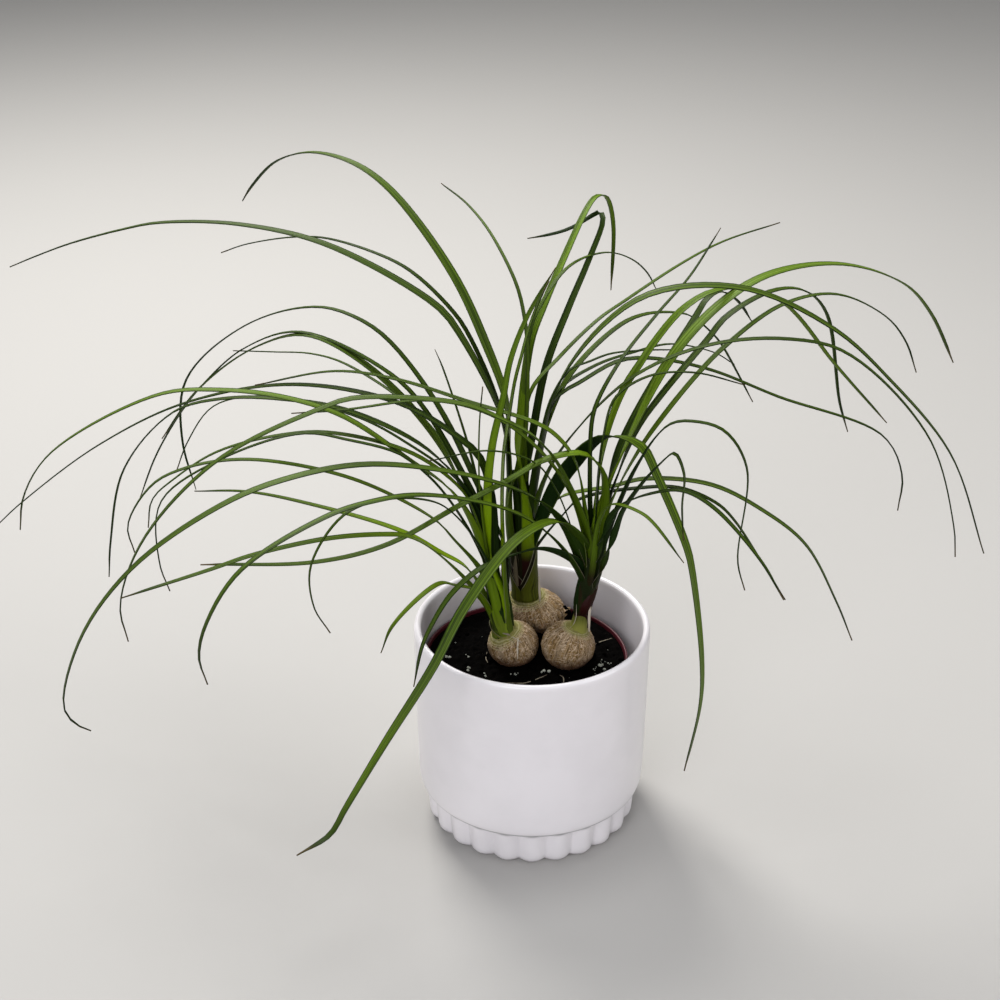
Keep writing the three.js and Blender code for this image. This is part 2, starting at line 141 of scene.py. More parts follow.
LEFT_LEAVES = [
    leaf(20, 5, 0.8, 0.8, base=-84, spread=1.2, dull_and_shaded=0.2, proud=0.6, roll=((0, 0), (0.35, 60), (0.8, 60)),
         path=[(-5, 168), (-7, 210), (-4, 240), (2, 266), (6, 287), (15, 310), (31, 336)]),
    leaf(115, 2, 0.3, 0.4, base=20,
         path=[(13, 160), (23, 185), (38, 215), (77, 254), (88, 261)]),
    leaf(195, 2.4, 0.5, 0.4, base=285, dull_and_shaded=0.3,
         path=[(6, 165), (11, 212), (11, 251), (9, 274)]),
    leaf(145, 3.6, 0.2, 0.3, base=0, dull_and_shaded=0.8,
         path=[(5, 168, 0), (16, 212), (43, 253), (75, 282), (97, 290), (126, 290), (182, 266), (237, 215),
               (244, 173), (236, 141)]),
    leaf(150, 3.6, 0.25, 0.3, base=35, dull_and_shaded=0.8,
         path=[(4, 165, 35), (18, 206), (46, 247), (67, 264), (128, 278), (170, 260), (206, 227), (225, 204),
               (247, 171), (264, 137)]),
    leaf(151, 6, 0.6, 0.35, base=285, dull_and_shaded=0.3,
         path=[(9, 172), (21, 202), (46, 239), (83, 267), (122, 278), (159, 264), (205, 227), (237, 187)]),
    leaf(130, 2.4, 0.35, 0.35, base=10, dull_and_shaded=0.8,
         path=[(8, 163), (21, 193), (41, 215), (65, 229), (93, 236), (145, 239), (179, 234), (223, 221),
               (272, 206)]),
    leaf(157, 5, 0.1, 0.3, base=100, dull_and_shaded=0.9,
         path=[(3, 160), (5, 206), (12, 229), (22, 237), (57, 252), (122, 253), (197, 229), (265, 188),
               (331, 134), (350, 116)]),
    leaf(175, 6, 0.75, 0.55, base=262, dull_and_shaded=0.3,
         path=[(5, 157), (16, 192), (28, 211), (49, 227), (85, 252), (117, 262), (152, 265), (186, 261),
               (251, 223), (270, 195), (275, 173)]),
    leaf(165, 5, 0.25, 0.3, base=320, dull_and_shaded=0.8,
         path=[(4, 160), (19, 207), (40, 230), (84, 248), (124, 251), (161, 247), (192, 235), (227, 194),
               (241, 144), (245, 119)]),
    leaf(160, 2.2, 0.25, 0.2,
         path=[(6, 166), (20, 208), (57, 232), (84, 242), (121, 246), (147, 245), (175, 234), (194, 208),
               (203, 188)]),
    leaf(175, 4.5, 0.55, 0.3, base=230, dull_and_shaded=0.4,
         path=[(5, 154), (13, 193), (20, 209), (47, 231), (91, 242), (118, 240), (156, 228), (182, 210),
               (196, 196), (200, 178)]),
    leaf(185, 3.2, 0.15, 0.3, root=126,
         path=[(2, 141), (13, 178), (30, 210), (42, 225), (55, 236), (81, 245), (106, 250), (153, 235),
               (184, 212), (188, 174), (184, 156)]),
    leaf(190, 4.6, 0.5, 0.5, root=128, base=252, dull_and_shaded=0.7,
         path=[(3, 133), (9, 158), (26, 183), (35, 195), (76, 223), (117, 238), (144, 242), (169, 239),
               (186, 231), (201, 208), (199, 191)]),
    leaf(205, 5.6, 0.55, 0.5, root=124, base=240, dull_and_shaded=0.7,
         path=[(4, 128), (16, 152), (41, 184), (55, 195), (68, 199), (100, 204), (142, 204), (165, 201),
               (212, 196)]),
    leaf(165, 4.6, 0.6, 0.8, root=122, base=235, dull_and_shaded=0.6,
         path=[(3, 127), (18, 158), (35, 167), (57, 177), (111, 187), (150, 190), (183, 186)]),
    leaf(215, 2.6, 0.2, 0.3, root=128,
         path=[(3, 142), (9, 170), (28, 203), (43, 217), (77, 228), (100, 225), (119, 203), (119, 178),
               (110, 158)]),
    leaf(225, 4.6, 0.65, 0.3, root=122, base=228, dull_and_shaded=0.4,
         path=[(5, 128), (18, 154), (33, 164), (47, 171), (81, 159), (90, 146)]),
    leaf(325, 7, 0.6, 0.6, base=320, dull_and_shaded=0.65, roll=((0, 0), (0.08, 48), (0.8, 45)),
         path=[(3, 178), (2, 197), (2, 217), (3, 236), (5, 249), (10, 279), (14, 294), (18, 309), (24, 326),
               (30, 339)]),
]
RIGHT_LEAVES = [
    leaf(190, 6.4, 0.55, 0.15, base=230,
         path=[(-4, 171), (15, 228), (29, 247), (47, 259), (67, 269), (124, 277), (143, 272), (197, 247),
               (239, 204), (255, 165), (253, 142)]),
    leaf(172, 4.6, 0.5, 0.3, base=150,
         path=[(-2, 168), (9, 211), (27, 236), (50, 253), (74, 260), (93, 260), (133, 252), (163, 248)]),
    leaf(165, 4.6, 0.5, 0.3, base=255,
         path=[(-4, 168), (-1, 189), (0, 200), (6, 229), (17, 243), (28, 249), (65, 257), (107, 266),
               (142, 267), (191, 253)]),
    leaf(200, 6.4, 0.42, 0.25, base=225, dull_and_shaded=0.9, roll=((0, 0), (0.03, 45), (0.1, 45), (0.2, 0)),
         path=[(-1, 158), (15, 197), (41, 220), (119, 248), (170, 247), (204, 237), (247, 212), (276, 178),
               (290, 137), (285, 125), (278, 119)]),
    leaf(213, 5.6, 0.5, 0.15, dull_and_shaded=0.9, roll=((0, 0), (0.03, 45), (0.12, 45), (0.25, 0)),
         path=[(0, 148), (14, 179), (44, 210), (102, 238), (132, 243), (159, 242), (207, 226), (227, 202),
               (232, 185), (229, 168)]),
    leaf(187, 7, 0.75, 0.5, base=262, dull_and_shaded=0.6,
         path=[(-4, 148), (-10, 191), (-9, 223), (1, 234), (22, 232), (42, 221), (69, 207), (110, 185),
               (149, 177), (211, 180)]),
    leaf(224, 8, 0.62, 0.05, base=250, dull_and_shaded=0.8,
         path=[(-2, 170), (11, 192), (25, 202), (53, 201), (91, 175), (114, 148), (147, 118), (176, 90),
               (187, 79), (209, 78)]),
    leaf(215, 5.4, 0.3, 0.35, base=240, dull_and_shaded=1, roll=((0, 0), (0.1, 40), (0.4, 40), (0.6, 0)),
         path=[(0, 159), (6, 169), (30, 185), (58, 187), (72, 185), (90, 175), (105, 156), (109, 147),
               (114, 127)]),
    leaf(184, 2.2, 0.35, 0.3,
         path=[(-1, 155), (4, 178), (16, 213), (28, 230), (52, 238), (86, 233)]),
    leaf(30, 8.4, 0.95, 0.6, base=-66, spread=1.1, dull_and_shaded=0.15, proud=0.3,
         path=[(6, 166), (11, 200), (27, 235), (53, 278), (85, 304), (117, 315), (167, 312), (217, 291),
               (241, 268), (265, 231)]),
    leaf(55, 5, 0.95, 0.7, base=-88, spread=1.7, dull_and_shaded=0.1, proud=0.8,
         path=[(12, 162), (12, 201), (16, 224), (25, 245), (37, 260, 54), (43, 274, 46), (51, 286, 42),
               (65, 302, 37), (83, 310, 34), (104, 308, 32), (130, 295, 30), (164, 254, 27),
               (203, 211, 26)]),
    leaf(47, 6.4, 0.25, 0.3, base=-60, spread=0.8, dull_and_shaded=0.7,
         roll=((0, 0), (0.08, -20), (0.3, -20), (0.5, 0)),
         path=[(14, 175), (18, 198), (28, 226), (54, 255), (77, 274), (94, 288), (101, 294), (113, 296),
               (131, 286), (149, 267)]),
    leaf(32, 5.4, 0.25, 0.55, base=-72, spread=0.8,
         path=[(11, 178), (18, 207), (35, 242), (50, 258), (80, 284), (91, 294), (124, 303), (148, 298),
               (166, 280), (183, 220), (192, 199)]),
    leaf(22, 4.6, 0.65, 0.25, base=-65,
         path=[(9, 173), (16, 202), (32, 231), (45, 248), (65, 270), (81, 284), (114, 303), (148, 305),
               (183, 287), (199, 269), (209, 248)]),
    leaf(340, 3.6, 0.25, 0.3, base=300, spread=1, dull_and_shaded=0.7, roll=((0, 0), (0.1, -30), (0.35, -30), (0.5, 0)),
         path=[(6, 156), (11, 179), (28, 231), (45, 259), (59, 263), (75, 260), (88, 241), (87, 184),
               (92, 167)]),
    leaf(335, 4.4, 0.25, 0.3, base=-75, spread=0.8, dull_and_shaded=0.7,
         roll=((0, 0), (0.2, -30), (0.5, -30), (0.7, 0)),
         path=[(7, 153), (18, 190), (23, 206), (42, 237), (50, 245), (56, 234), (56, 214), (58, 194)]),
    leaf(326, 4.6, 0.25, 0.3, base=-70, spread=0.9, dull_and_shaded=0.7,
         roll=((0, 0), (0.1, -28), (0.35, -28), (0.5, 0)),
         path=[(6, 163), (20, 206), (43, 223), (61, 229), (79, 224), (107, 202), (122, 183)]),
    leaf(308, 3.6, 0.45, 0.4,
         path=[(7, 162), (12, 198), (21, 212), (45, 217), (55, 215), (79, 202)]),
    leaf(57, 2.8, 0.15, 0.3,
         path=[(9, 163), (7, 187), (5, 207), (5, 252), (10, 261), (33, 276), (74, 290), (114, 301),
               (150, 319)]),
    leaf(12, 3.2, 0.2, 0.3, base=-60,
         path=[(6, 167), (6, 190), (7, 223), (9, 243), (15, 266), (33, 277), (58, 277), (88, 267)]),
]
BACK_LEAVES = [
    leaf(155, 7, 0.3, 0.15, base=190, spread=1.6, dull_and_shaded=0.8,
         path=[(10, 206), (13, 236), (41, 286), (53, 298), (120, 323), (178, 327), (235, 320), (262, 312),
               (303, 297), (330, 285), (351, 275)]),
    leaf(140, 3.4, 0.2, 0.3, base=150, dull_and_shaded=0.8,
         path=[(11, 217), (21, 249), (42, 282), (52, 291), (75, 304), (95, 310), (146, 312), (175, 307),
               (221, 292), (245, 281)]),
    leaf(135, 7, 0.55, 0.4, base=228, dull_and_shaded=0.6,
         path=[(11, 217), (15, 248), (31, 277), (54, 308), (95, 341), (121, 353), (147, 357), (180, 354),
               (212, 341), (239, 318), (247, 309)]),
    leaf(112, 2.6, 0.45, 0.15,
         path=[(0, 221), (-4, 245), (-4, 287), (0, 300), (10, 314), (45, 331), (82, 338), (128, 338)]),
    leaf(62, 5.6, 0.85, 0.95, base=-88, spread=1.9, dull_and_shaded=0.1, proud=2.4,
         path=[(-6, 223), (-3, 244), (8, 284), (23, 299), (54, 324), (72, 337), (82, 342), (90, 343),
               (103, 338), (113, 319), (113, 278)]),
    leaf(55, 5.6, 0.1, 0.3, base=-10,
         path=[(3, 201), (10, 230), (22, 264), (44, 292), (63, 313), (78, 333), (81, 336, 57), (85, 335, 60),
               (84, 332, 63), (78, 328, 67), (74, 325, 72), (72, 322, 80), (74, 319, 88)]),
    leaf(55, 2.8, 0.5, 0.4, base=250, dull_and_shaded=0.3,
         path=[(-3, 222), (0, 262), (5, 290), (12, 300), (40, 316), (80, 314), (111, 301), (131, 286),
               (144, 270)]),
    leaf(42, 3, 0.5, 0.4, base=20, dull_and_shaded=0.3,
         path=[(2, 208), (4, 254), (27, 270), (56, 284), (78, 290), (124, 301), (159, 306), (212, 306)]),
    leaf(357, 9, 0.35, 0.35, base=318, dull_and_shaded=0.7,
         path=[(8, 208), (18, 259), (44, 298), (70, 316), (117, 319), (166, 297), (198, 269), (237, 224),
               (263, 162)]),
    leaf(35, 4.6, 0.4, 0.15,
         path=[(7, 200), (13, 224), (30, 257), (65, 280), (86, 283), (116, 276), (125, 270), (139, 257),
               (145, 250), (174, 205)]),
    leaf(37, 3.2, 0.15, 0.3,
         path=[(7, 193), (16, 231), (23, 250), (50, 259), (83, 260), (103, 259), (118, 255), (145, 243),
               (162, 231)]),
    leaf(20, 2.8, 0.15, 0.3,
         path=[(6, 201), (10, 227), (16, 250), (27, 266), (38, 269), (51, 272), (73, 271), (96, 268)]),
    leaf(5, 5, 0.15, 0.3, base=-70,
         path=[(5, 195), (10, 229), (19, 253), (31, 261), (52, 273), (70, 274), (103, 266), (143, 248),
               (206, 221), (220, 195), (220, 172)]),
    leaf(352, 5, 0.4, 0.3, base=300,
         path=[(3, 153), (12, 203), (32, 239), (62, 271), (99, 290), (140, 296), (172, 290), (220, 244),
               (240, 190), (243, 171)]),
    leaf(331, 9.4, 1.0, 0.45, base=275, spread=0.7, dull_and_shaded=1,
         roll=((0, 0), (0.1, -62), (0.27, -62), (0.42, 0)),
         path=[(3, 151), (17, 195), (31, 220), (51, 241), (71, 240), (82, 223), (101, 185), (105, 171),
               (114, 117), (115, 88), (108, 38)]),
    leaf(346, 5.4, 0.5, 0.15, root=138, base=295, dull_and_shaded=0.7,
         path=[(3, 153), (12, 182), (22, 194), (51, 204), (69, 211), (106, 212), (135, 200), (160, 182),
               (180, 148), (191, 124)]),
    leaf(346, 4.4, 0.2, 0.3, root=138, base=315,
         path=[(3, 147), (24, 184), (33, 194), (66, 205), (89, 208), (110, 201), (120, 192), (140, 163),
               (152, 145)]),
]
LEAVES = {"left": LEFT_LEAVES, "right": RIGHT_LEAVES, "back": BACK_LEAVES}

# Clusters of white grains on the soil as x, y and size, and dried roots as x and y along each
PERLITE = [
    (-48.3, -2.4, 1.3), (-36.2, -0.2, 1), (-36, -13.8, 1.5), (8.5, -15.9, 1.6), (-9.1, -19.7, 1.1),
    (40.6, -6, 1.2), (-27, -20.5, 1.2), (31, -24.5, 1.1), (36.4, -13, 1.3), (39, -10.6, 1.4),
    (43.6, -7, 1.1),
]
ROOT_PATHS = [
    [(-17.5, -27.6), (-11, -28.8), (-4, -27.4), (2.5, -25.6), (8.3, -22.4)],
    [(37.6, 11.4), (39.6, 15), (43, 17.8), (47.4, 19.6)],
    [(-25.8, 2.4), (-26.4, -3), (-25.4, -8.9)],
    [(15.6, -20.6), (17.4, -24), (17.6, -28.8)],
    [(-44, -18), (-39.6, -21), (-34, -20.8)],
]
# Crumbs of peat stuck to the bulb at the back, as place and size
STUCK_CRUMBS = [
    ((21.6, 25, 117.4), 1.9), ((23.4, 24, 116), 1.5), ((20.4, 26, 119.4), 1.3), ((24.6, 23, 118), 1.1),
    ((22.4, 23.4, 114.2), 1.8), ((19.6, 24.4, 121.4), 0.9),
]
# Small tails of the bulb at the back: path, radii, corners round it and how much it sits in the soil
TAILS = [
    ([(17, 31, 113.5), (20, 30.6, 114.6), (22.9, 30, 117.4)], [4.6, 2.4, 0.5], 16, 0),
    ([(5.4, 21.5, 113), (5.9, 17.6, 112), (6.3, 15.6, 108.6)], [3.6, 2.6, 0.8], 14, 0.5),
]
# Sheaths: stem, direction of the opening, heights of foot, notch and top, height off the stem, sag, tint
SHEATHS = [
    ("back", 250, 125.3, 133.4, 184, 0.4, 0, 0.25),
    ("back", 245, 126, 135.9, 190, 0, 0, 0.55),
    ("back", 300, 127, 134.4, 166, -0.6, 0, 0.72),
    ("right", 262, 135.5, 136.5, 176, -0.1, 17, 0.75),
    ("right", 35, 137, 138, 170, -0.4, 2, 0.5),
    ("right", 285, 137, 146, 180, -0.7, 2, 0.5),
    ("left", 330, 116.5, 118, 127, -1.7, 0, 0.12),
]
# Dried strips: stem, widest radius, tint and path
STRIPS = [
    ("right", 0.8, 1, [(32.4, -6.6, 123.6), (32.2, -6.8, 130), (32.4, -6.2, 138), (34, -4.8, 147)]),
    ("right", 0.2, 0.97, [(20.8, -7, 126), (23, -8, 129), (24.6, -8, 134), (24.8, -7, 142)]),
    ("back", 0.7, 1, [(5, 24.4, 125), (4.8, 24.2, 130), (4.5, 24.2, 136), (4.3, 24.6, 142)]),
    ("back", 1.3, 0.9, [(-8, 23.4, 136), (-8.8, 23, 141), (-9.4, 23, 148), (-9.4, 23.4, 156)]),
    ("left", 0.5, 1, [(-8, -10, 121.8), (-8.3, -12.7, 118.5), (-8.4, -14.3, 114.5), (-8.4, -14.8, 110.5)]),
    ("left", 1.1, 0.93, [
        (-16.8, -8.4, 124), (-15.4, -8.6, 123.8), (-13.8, -8.6, 123.2), (-12.6, -8.6, 122.6),
    ]),
    ("left", 0.45, 0.97, [
        (-12.6, -9, 122), (-9.6, -10.2, 121.6), (-7.4, -10.8, 120.2), (-5.4, -11, 118.4),
    ]),
    ("left", 0.45, 0.97, [
        (-13.4, -10.4, 120.8), (-10.4, -11.6, 119.6), (-9, -12.4, 118), (-8, -12.8, 116.4),
    ]),
]
# Radii along a strip as shares of its widest
STRIP_RADII = (0.5, 1, 0.9, 0.3)
# The swollen pale collar at the foot of the right stem, as radius and height about the stem
COLLAR = [
    (0.5, 117), (4.9, 117.6), (5.4, 119.6), (5.4, 122), (5, 125), (4.6, 128), (4.2, 131), (3.6, 133.8),
    (0.5, 135),
]
# Soft lamps: name, place and size in metres, power in watts and colour
LAMPS = [
    ("key", (-0.55, 1.15, 1.6), 0.8, 36, (1, 0.98, 0.94)),
    ("fill", (-0.7, -1.8, 1.1), 1.4, 19, (0.97, 0.97, 1)),
    ("side", (1.6, -0.7, 1), 1, 7, (1, 0.98, 0.98)),
    ("top", (0.1, 0.2, 1.9), 0.8, 12, (1, 1, 1)),
]
LAMP_AIM = (0, 0, 0.15)
CAMERA_PLACE = (-0.0183, -0.8504, 0.6526)
CAMERA_TILT = 62.23
CAMERA_LENS = 62.892
CAMERA_SENSOR = 36


# Shapes

FINE_STEPS = 40
NEARLY_UPRIGHT = 0.9


def smooth_path(points, count):
    """Places along a centripetal Catmull-Rom curve through the points, with the curve's own parameter in
    even steps: each span is a Hermite curve whose slopes weigh the chords by the root of their length."""
    points = np.asarray(points, float)
    ends = np.vstack([2 * points[0] - points[1], points, 2 * points[-1] - points[-2]])
    spans = len(points) - 1
    position = np.linspace(0, spans, count)
    span = np.minimum(position.astype(int), spans - 1)
    share = (position - span)[:, None]
    a, b, c, d = (ends[span + k] for k in range(4))
    gap_a, gap_b, gap_c = (
        np.sqrt(np.linalg.norm(high - low, axis=1))[:, None] for low, high in ((a, b), (b, c), (c, d))
    )
    slope_b = ((b - a) / gap_a - (c - a) / (gap_a + gap_b) + (c - b) / gap_b) * gap_b
    slope_c = ((c - b) / gap_b - (d - b) / (gap_b + gap_c) + (d - c) / gap_c) * gap_b
    square = share * share
    cube = square * share
    return (
        (2 * cube - 3 * square + 1) * b + (cube - 2 * square + share) * slope_b
        + (3 * square - 2 * cube) * c + (cube - square) * slope_c
    )


def even_path(points, count):
    """The same curve with its places the same distance apart: a fine curve read at even lengths."""
    fine = smooth_path(points, FINE_STEPS * len(points))
    length = np.concatenate([[0], np.cumsum(np.linalg.norm(np.diff(fine, axis=0), axis=1))])
    wanted = np.linspace(0, length[-1], count)
    return np.stack([np.interp(wanted, length, fine[:, k]) for k in range(3)], axis=1), wanted


def unit(vectors):
    """Each vector divided by its own length."""
    return vectors / np.maximum(np.linalg.norm(vectors, axis=-1, keepdims=True), 1e-9)


def ease(low, high, value):
    """A smooth step: 0 up to low, 1 from high, and 3t squared minus 2t cubed between them."""
    share = np.clip((value - low) / (high - low), 0, 1)
    return share * share * (3 - 2 * share)


def ripple(places, size, seed, waves=28):
    """A smooth random height at each place: the mean of seeded sine waves in all directions, whose
    lengths are near the given size, scaled to stay about between -1 and 1."""
    chance = np.random.default_rng(seed)
    directions = unit(chance.normal(size=(waves, 3)))
    rates = 2 * np.pi / (size * chance.uniform(0.7, 1.6, waves))
    starts = chance.uniform(0, 2 * np.pi, waves)
    return np.sin(places @ (directions * rates[:, None]).T + starts).sum(-1) / math.sqrt(waves)


class Skin:
    """Gathers closed surfaces for one mesh, in millimetres, with a map and named numbers at each corner."""

    def __init__(self):
        self.places = []
        self.faces = []
        self.maps = []
        self.numbers = {}
        self.count = 0

    def tube(self, rings, across=None, along=None, **numbers):
        """Adds a tube of rings by corners, whose corners run anticlockwise as seen from its far end. A pole
        at the middle of each end ring closes it. The map is across and along, 0 to 1 unless given."""
        steps, sides = rings.shape[:2]
        poles = np.stack([rings[0].mean(0), rings[-1].mean(0)])
        self.places.append(np.vstack([rings.reshape(-1, 3), poles]))
        across = np.arange(sides) / sides if across is None else across
        along = np.linspace(0, 1, steps)[:, None] if along is None else along
        both = np.stack(np.broadcast_arrays(across, along), -1).reshape(-1, 2)
        self.maps.append(np.vstack([both, [0.5, along[0, 0]], [0.5, along[-1, 0]]]))
        corner = self.count + np.arange(steps * sides).reshape(steps, sides)
        ahead = np.roll(corner, -1, axis=1)
        walls = np.stack([corner[:-1], ahead[:-1], ahead[1:], corner[1:]], -1).reshape(-1, 4)
        low = self.count + steps * sides
        start = np.stack([np.full(sides, low), ahead[0], corner[0]], -1)
        end = np.stack([np.full(sides, low + 1), corner[-1], ahead[-1]], -1)
        self.faces += walls.tolist() + start.tolist() + end.tolist()
        for name, value in numbers.items():
            full = np.broadcast_to(np.asarray(value, float), (steps, sides)).reshape(-1)
            ends = [full[:sides].mean(), full[-sides:].mean()]
            self.numbers.setdefault(name, []).append(np.concatenate([full, ends]))
        self.count += steps * sides + 2

    def piece(self, name, finish, node, stands_for=()):
        """Makes the mesh object, smooth shaded, riding on the body, with its finish."""
        mesh = bpy.data.meshes.new(name)
        mesh.from_pydata(np.vstack(self.places) * MM, [], self.faces)
        mesh.polygons.foreach_set("use_smooth", np.ones(len(mesh.polygons), bool))
        corners = np.zeros(len(mesh.loops), np.int32)
        mesh.loops.foreach_get("vertex_index", corners)
        layer = mesh.uv_layers.new(name="surface")
        layer.data.foreach_set("uv", np.vstack(self.maps)[corners].astype(np.float32).reshape(-1))
        for key, values in self.numbers.items():
            attribute = mesh.attributes.new(key, "FLOAT", "POINT")
            attribute.data.foreach_set("value", np.concatenate(values).astype(np.float32))
        mesh.materials.append(finish)
        mesh.update()
        made = bpy.data.objects.new(name, mesh)
        bpy.context.scene.collection.objects.link(made)
        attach(made, BODY)
        if stands_for:
            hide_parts(*stands_for)
        return made


def turned(profile, sides, centre=0.0):
    """Rings about an upright axis at x = centre, one for each radius and height of the profile."""
    radius, height = np.asarray(profile, float).T
    angle = np.linspace(0, 2 * np.pi, sides, endpoint=False)
    return np.stack([
        centre + radius[:, None] * np.cos(angle), radius[:, None] * np.sin(angle),
        np.repeat(height[:, None], sides, 1),
    ], -1)


def ball(pole, rings, sides):
    """Rings on a ball of radius 1 from its bottom to its top, the first and last one a pole's angle from
    the poles, with the polar angle of each ring and the angle of each corner."""
    polar = np.linspace(pole, math.pi - pole, rings)[:, None]
    angle = np.linspace(0, 2 * np.pi, sides, endpoint=False)[None]
    places = [np.sin(polar) * np.cos(angle), np.sin(polar) * np.sin(angle), -np.cos(polar) + 0 * angle]
    return np.stack(places, -1), polar, angle


def finer(profile, steps):
    """The profile's points with even steps put between each pair, on straight lines."""
    profile = np.asarray(profile, float)
    position = np.linspace(0, len(profile) - 1, (len(profile) - 1) * steps + 1)
    return np.stack([np.interp(position, np.arange(len(profile)), profile[:, k]) for k in range(2)], 1)


def along_frame(centre, across):
    """The direction of travel, the sideways direction square to it and the facing direction at each
    place of a path, where facing is travel crossed with sideways."""
    travel = unit(np.gradient(centre, axis=0))
    side = unit(across - travel * (across * travel).sum(-1, keepdims=True))
    return travel, side, np.cross(travel, side)


def round_tube(points, radii, sides, count, flat=1.0):
    """A round or flattened tube along a smooth path: at each place a circle of the interpolated radius,
    squeezed by flat in its facing direction."""
    centre, _ = even_path(points, count)
    radius = np.interp(np.linspace(0, 1, count), np.linspace(0, 1, len(radii)), radii)
    travel = unit(np.gradient(centre, axis=0))
    guide = np.where(np.abs(travel[:, 2:3]) > NEARLY_UPRIGHT, [[0.0, 1.0, 0.0]], [[0.0, 0.0, 1.0]])
    _, side, facing = along_frame(centre, np.cross(guide, travel))
    angle = np.linspace(0, 2 * np.pi, sides, endpoint=False)[None, :, None]
    return centre[:, None] + radius[:, None, None] * (
        np.cos(angle) * side[:, None] + flat * np.sin(angle) * facing[:, None]
    )


# Leaf blades: corners from one edge to the other over the upper side and back under it, and which are under
BLADE_STEPS = 64
BLADE_ACROSS = np.array([1, 0.82, 0.45, 0, -0.45, -0.82, -1, -0.82, -0.45, 0, 0.45, 0.82])
BLADE_UNDER = np.repeat([0.0, 1.0], [7, 5])
# Thickness in the middle and at the edges, and the least width of a blade
BLADE_THICKNESS = 0.75
EDGE_THICKNESS = 0.3
LEAST_WIDTH = 1.1
# Width along a blade: spread at its root, narrowing to its tip, then the fine point
ROOT_SPREAD = 1.35
ROOT_SHARE = 0.12
TAPER_START = 0.35
TIP_SHARE = 0.35
TAPER_POWER = 1.5
POINT_LENGTH = 16
POINT_SHARE = 0.25
# The broad foot round the stem: its least width, where it starts to narrow and to open, and its arc
LEAST_SHEATH = 4.2
SHEATH_LOW = 16
CURL_PAST_CROWN = 25
SHEATH_CURL = 1.15
BLADE_CURL = 0.42
CURL_WAVE = 0.18
CURL_WAVES = 9
# Where a foot stands round the stem, from the leaf's number unless told otherwise
BASE_SWING = 82
SWING_STEP = 2.4
FOOT_STEP = 0.35
FOOT_LEVELS = 5
LEAST_RISE = 3
SNUG = 0.88
SNUG_RANGE = 0.16
GOLDEN = 0.618
# The station between the foot and the first way-point
MIDDLE_SHARE = 0.6
MIDDLE_DROP = 6
MIDDLE_TURN = 0.75
LOW_ROOT_GIRTH = 0.7
LOW_ROOT_REACH = 0.3
# Where a blade turns from its foot's direction to its own, and how deep its middle line is set
TWIST_START = 14
TWIST_SHARE = 0.4
LEAST_TWIST = 60
SEAT = -0.3
STAIN_MIDDLE = 0.55
STAIN_RANGE = 0.45


def blade_width(share, length, width):
    """How wide the blade is at a share of its length: spread at the root, full, then narrowing by a
    power to its tip share, and drawn out to a fine point over its last millimetres."""
    root = ROOT_SPREAD - (ROOT_SPREAD - 1) * np.clip(share / ROOT_SHARE, 0, 1)
    taper = (1 - TIP_SHARE) * np.clip((share - TAPER_START) / (1 - TAPER_START), 0, 1) ** TAPER_POWER
    point = POINT_SHARE + (1 - POINT_SHARE) * ease(0, POINT_LENGTH, length[-1] - length)
    return np.maximum(width * (root - taper), LEAST_WIDTH) * point


def leaf_stations(shape, crown, stem, base, foot, snug):
    """The places that a leaf's curve goes through. The first is its foot, against the stem. The second is
    most of the way up to the first way-point, at the radius of the bunch, or nearer the stem for a leaf
    that roots low, and turned a little from the foot's direction to the leaf's own. The way-points follow,
    each a reach from the crown's axis in its direction and a height."""
    own = shape["azimuth"]
    first_reach, first_height = shape["path"][0][:2]
    axis = np.array(stem["axis"], float)
    girth = np.interp(foot, axis[:, 2], stem["radii"]) * snug
    inner = crown["wide"] * snug + shape["proud"]
    if shape["root"]:
        inner = girth * LOW_ROOT_GIRTH + abs(first_reach) * LOW_ROOT_REACH
    middle = foot + MIDDLE_SHARE * (first_height - MIDDLE_DROP - foot)
    way = [
        (girth * crown["tight"], foot, base),
        (inner, middle, base * MIDDLE_TURN + own * (1 - MIDDLE_TURN)),
        *((*point, own)[:3] for point in shape["path"]),
    ]
    reach, height, turn = np.array(way, float).T
    turn = np.radians(turn)
    centre = np.full((len(way), 2), (crown["x"], crown["y"]), float)
    for k in range(2):
        centre[:2, k] = np.interp(height[:2], axis[:, 2], axis[:, k])
    return np.stack([centre[:, 0] + reach * np.cos(turn), centre[:, 1] + reach * np.sin(turn), height], 1)


def blade_rings(centre, side, normal, half, bend):
    """The blade's corners: at each place of its middle line an arc of a circle across it, with half its
    width along the arc and half its angle given, thick in the middle and thin at the edges."""
    radius = half / bend
    rim = np.sqrt(np.clip(1 - BLADE_ACROSS * BLADE_ACROSS, 0, 1))
    thick = EDGE_THICKNESS + (BLADE_THICKNESS - EDGE_THICKNESS) * rim
    turn = (bend[:, None] * BLADE_ACROSS)[..., None]
    out = (radius[:, None] + thick / 2 * (2 * BLADE_UNDER - 1))[..., None]
    middle = centre + (radius + SEAT)[:, None] * normal
    return middle[:, None] + out * (np.sin(turn) * side[:, None] - np.cos(turn) * normal[:, None])


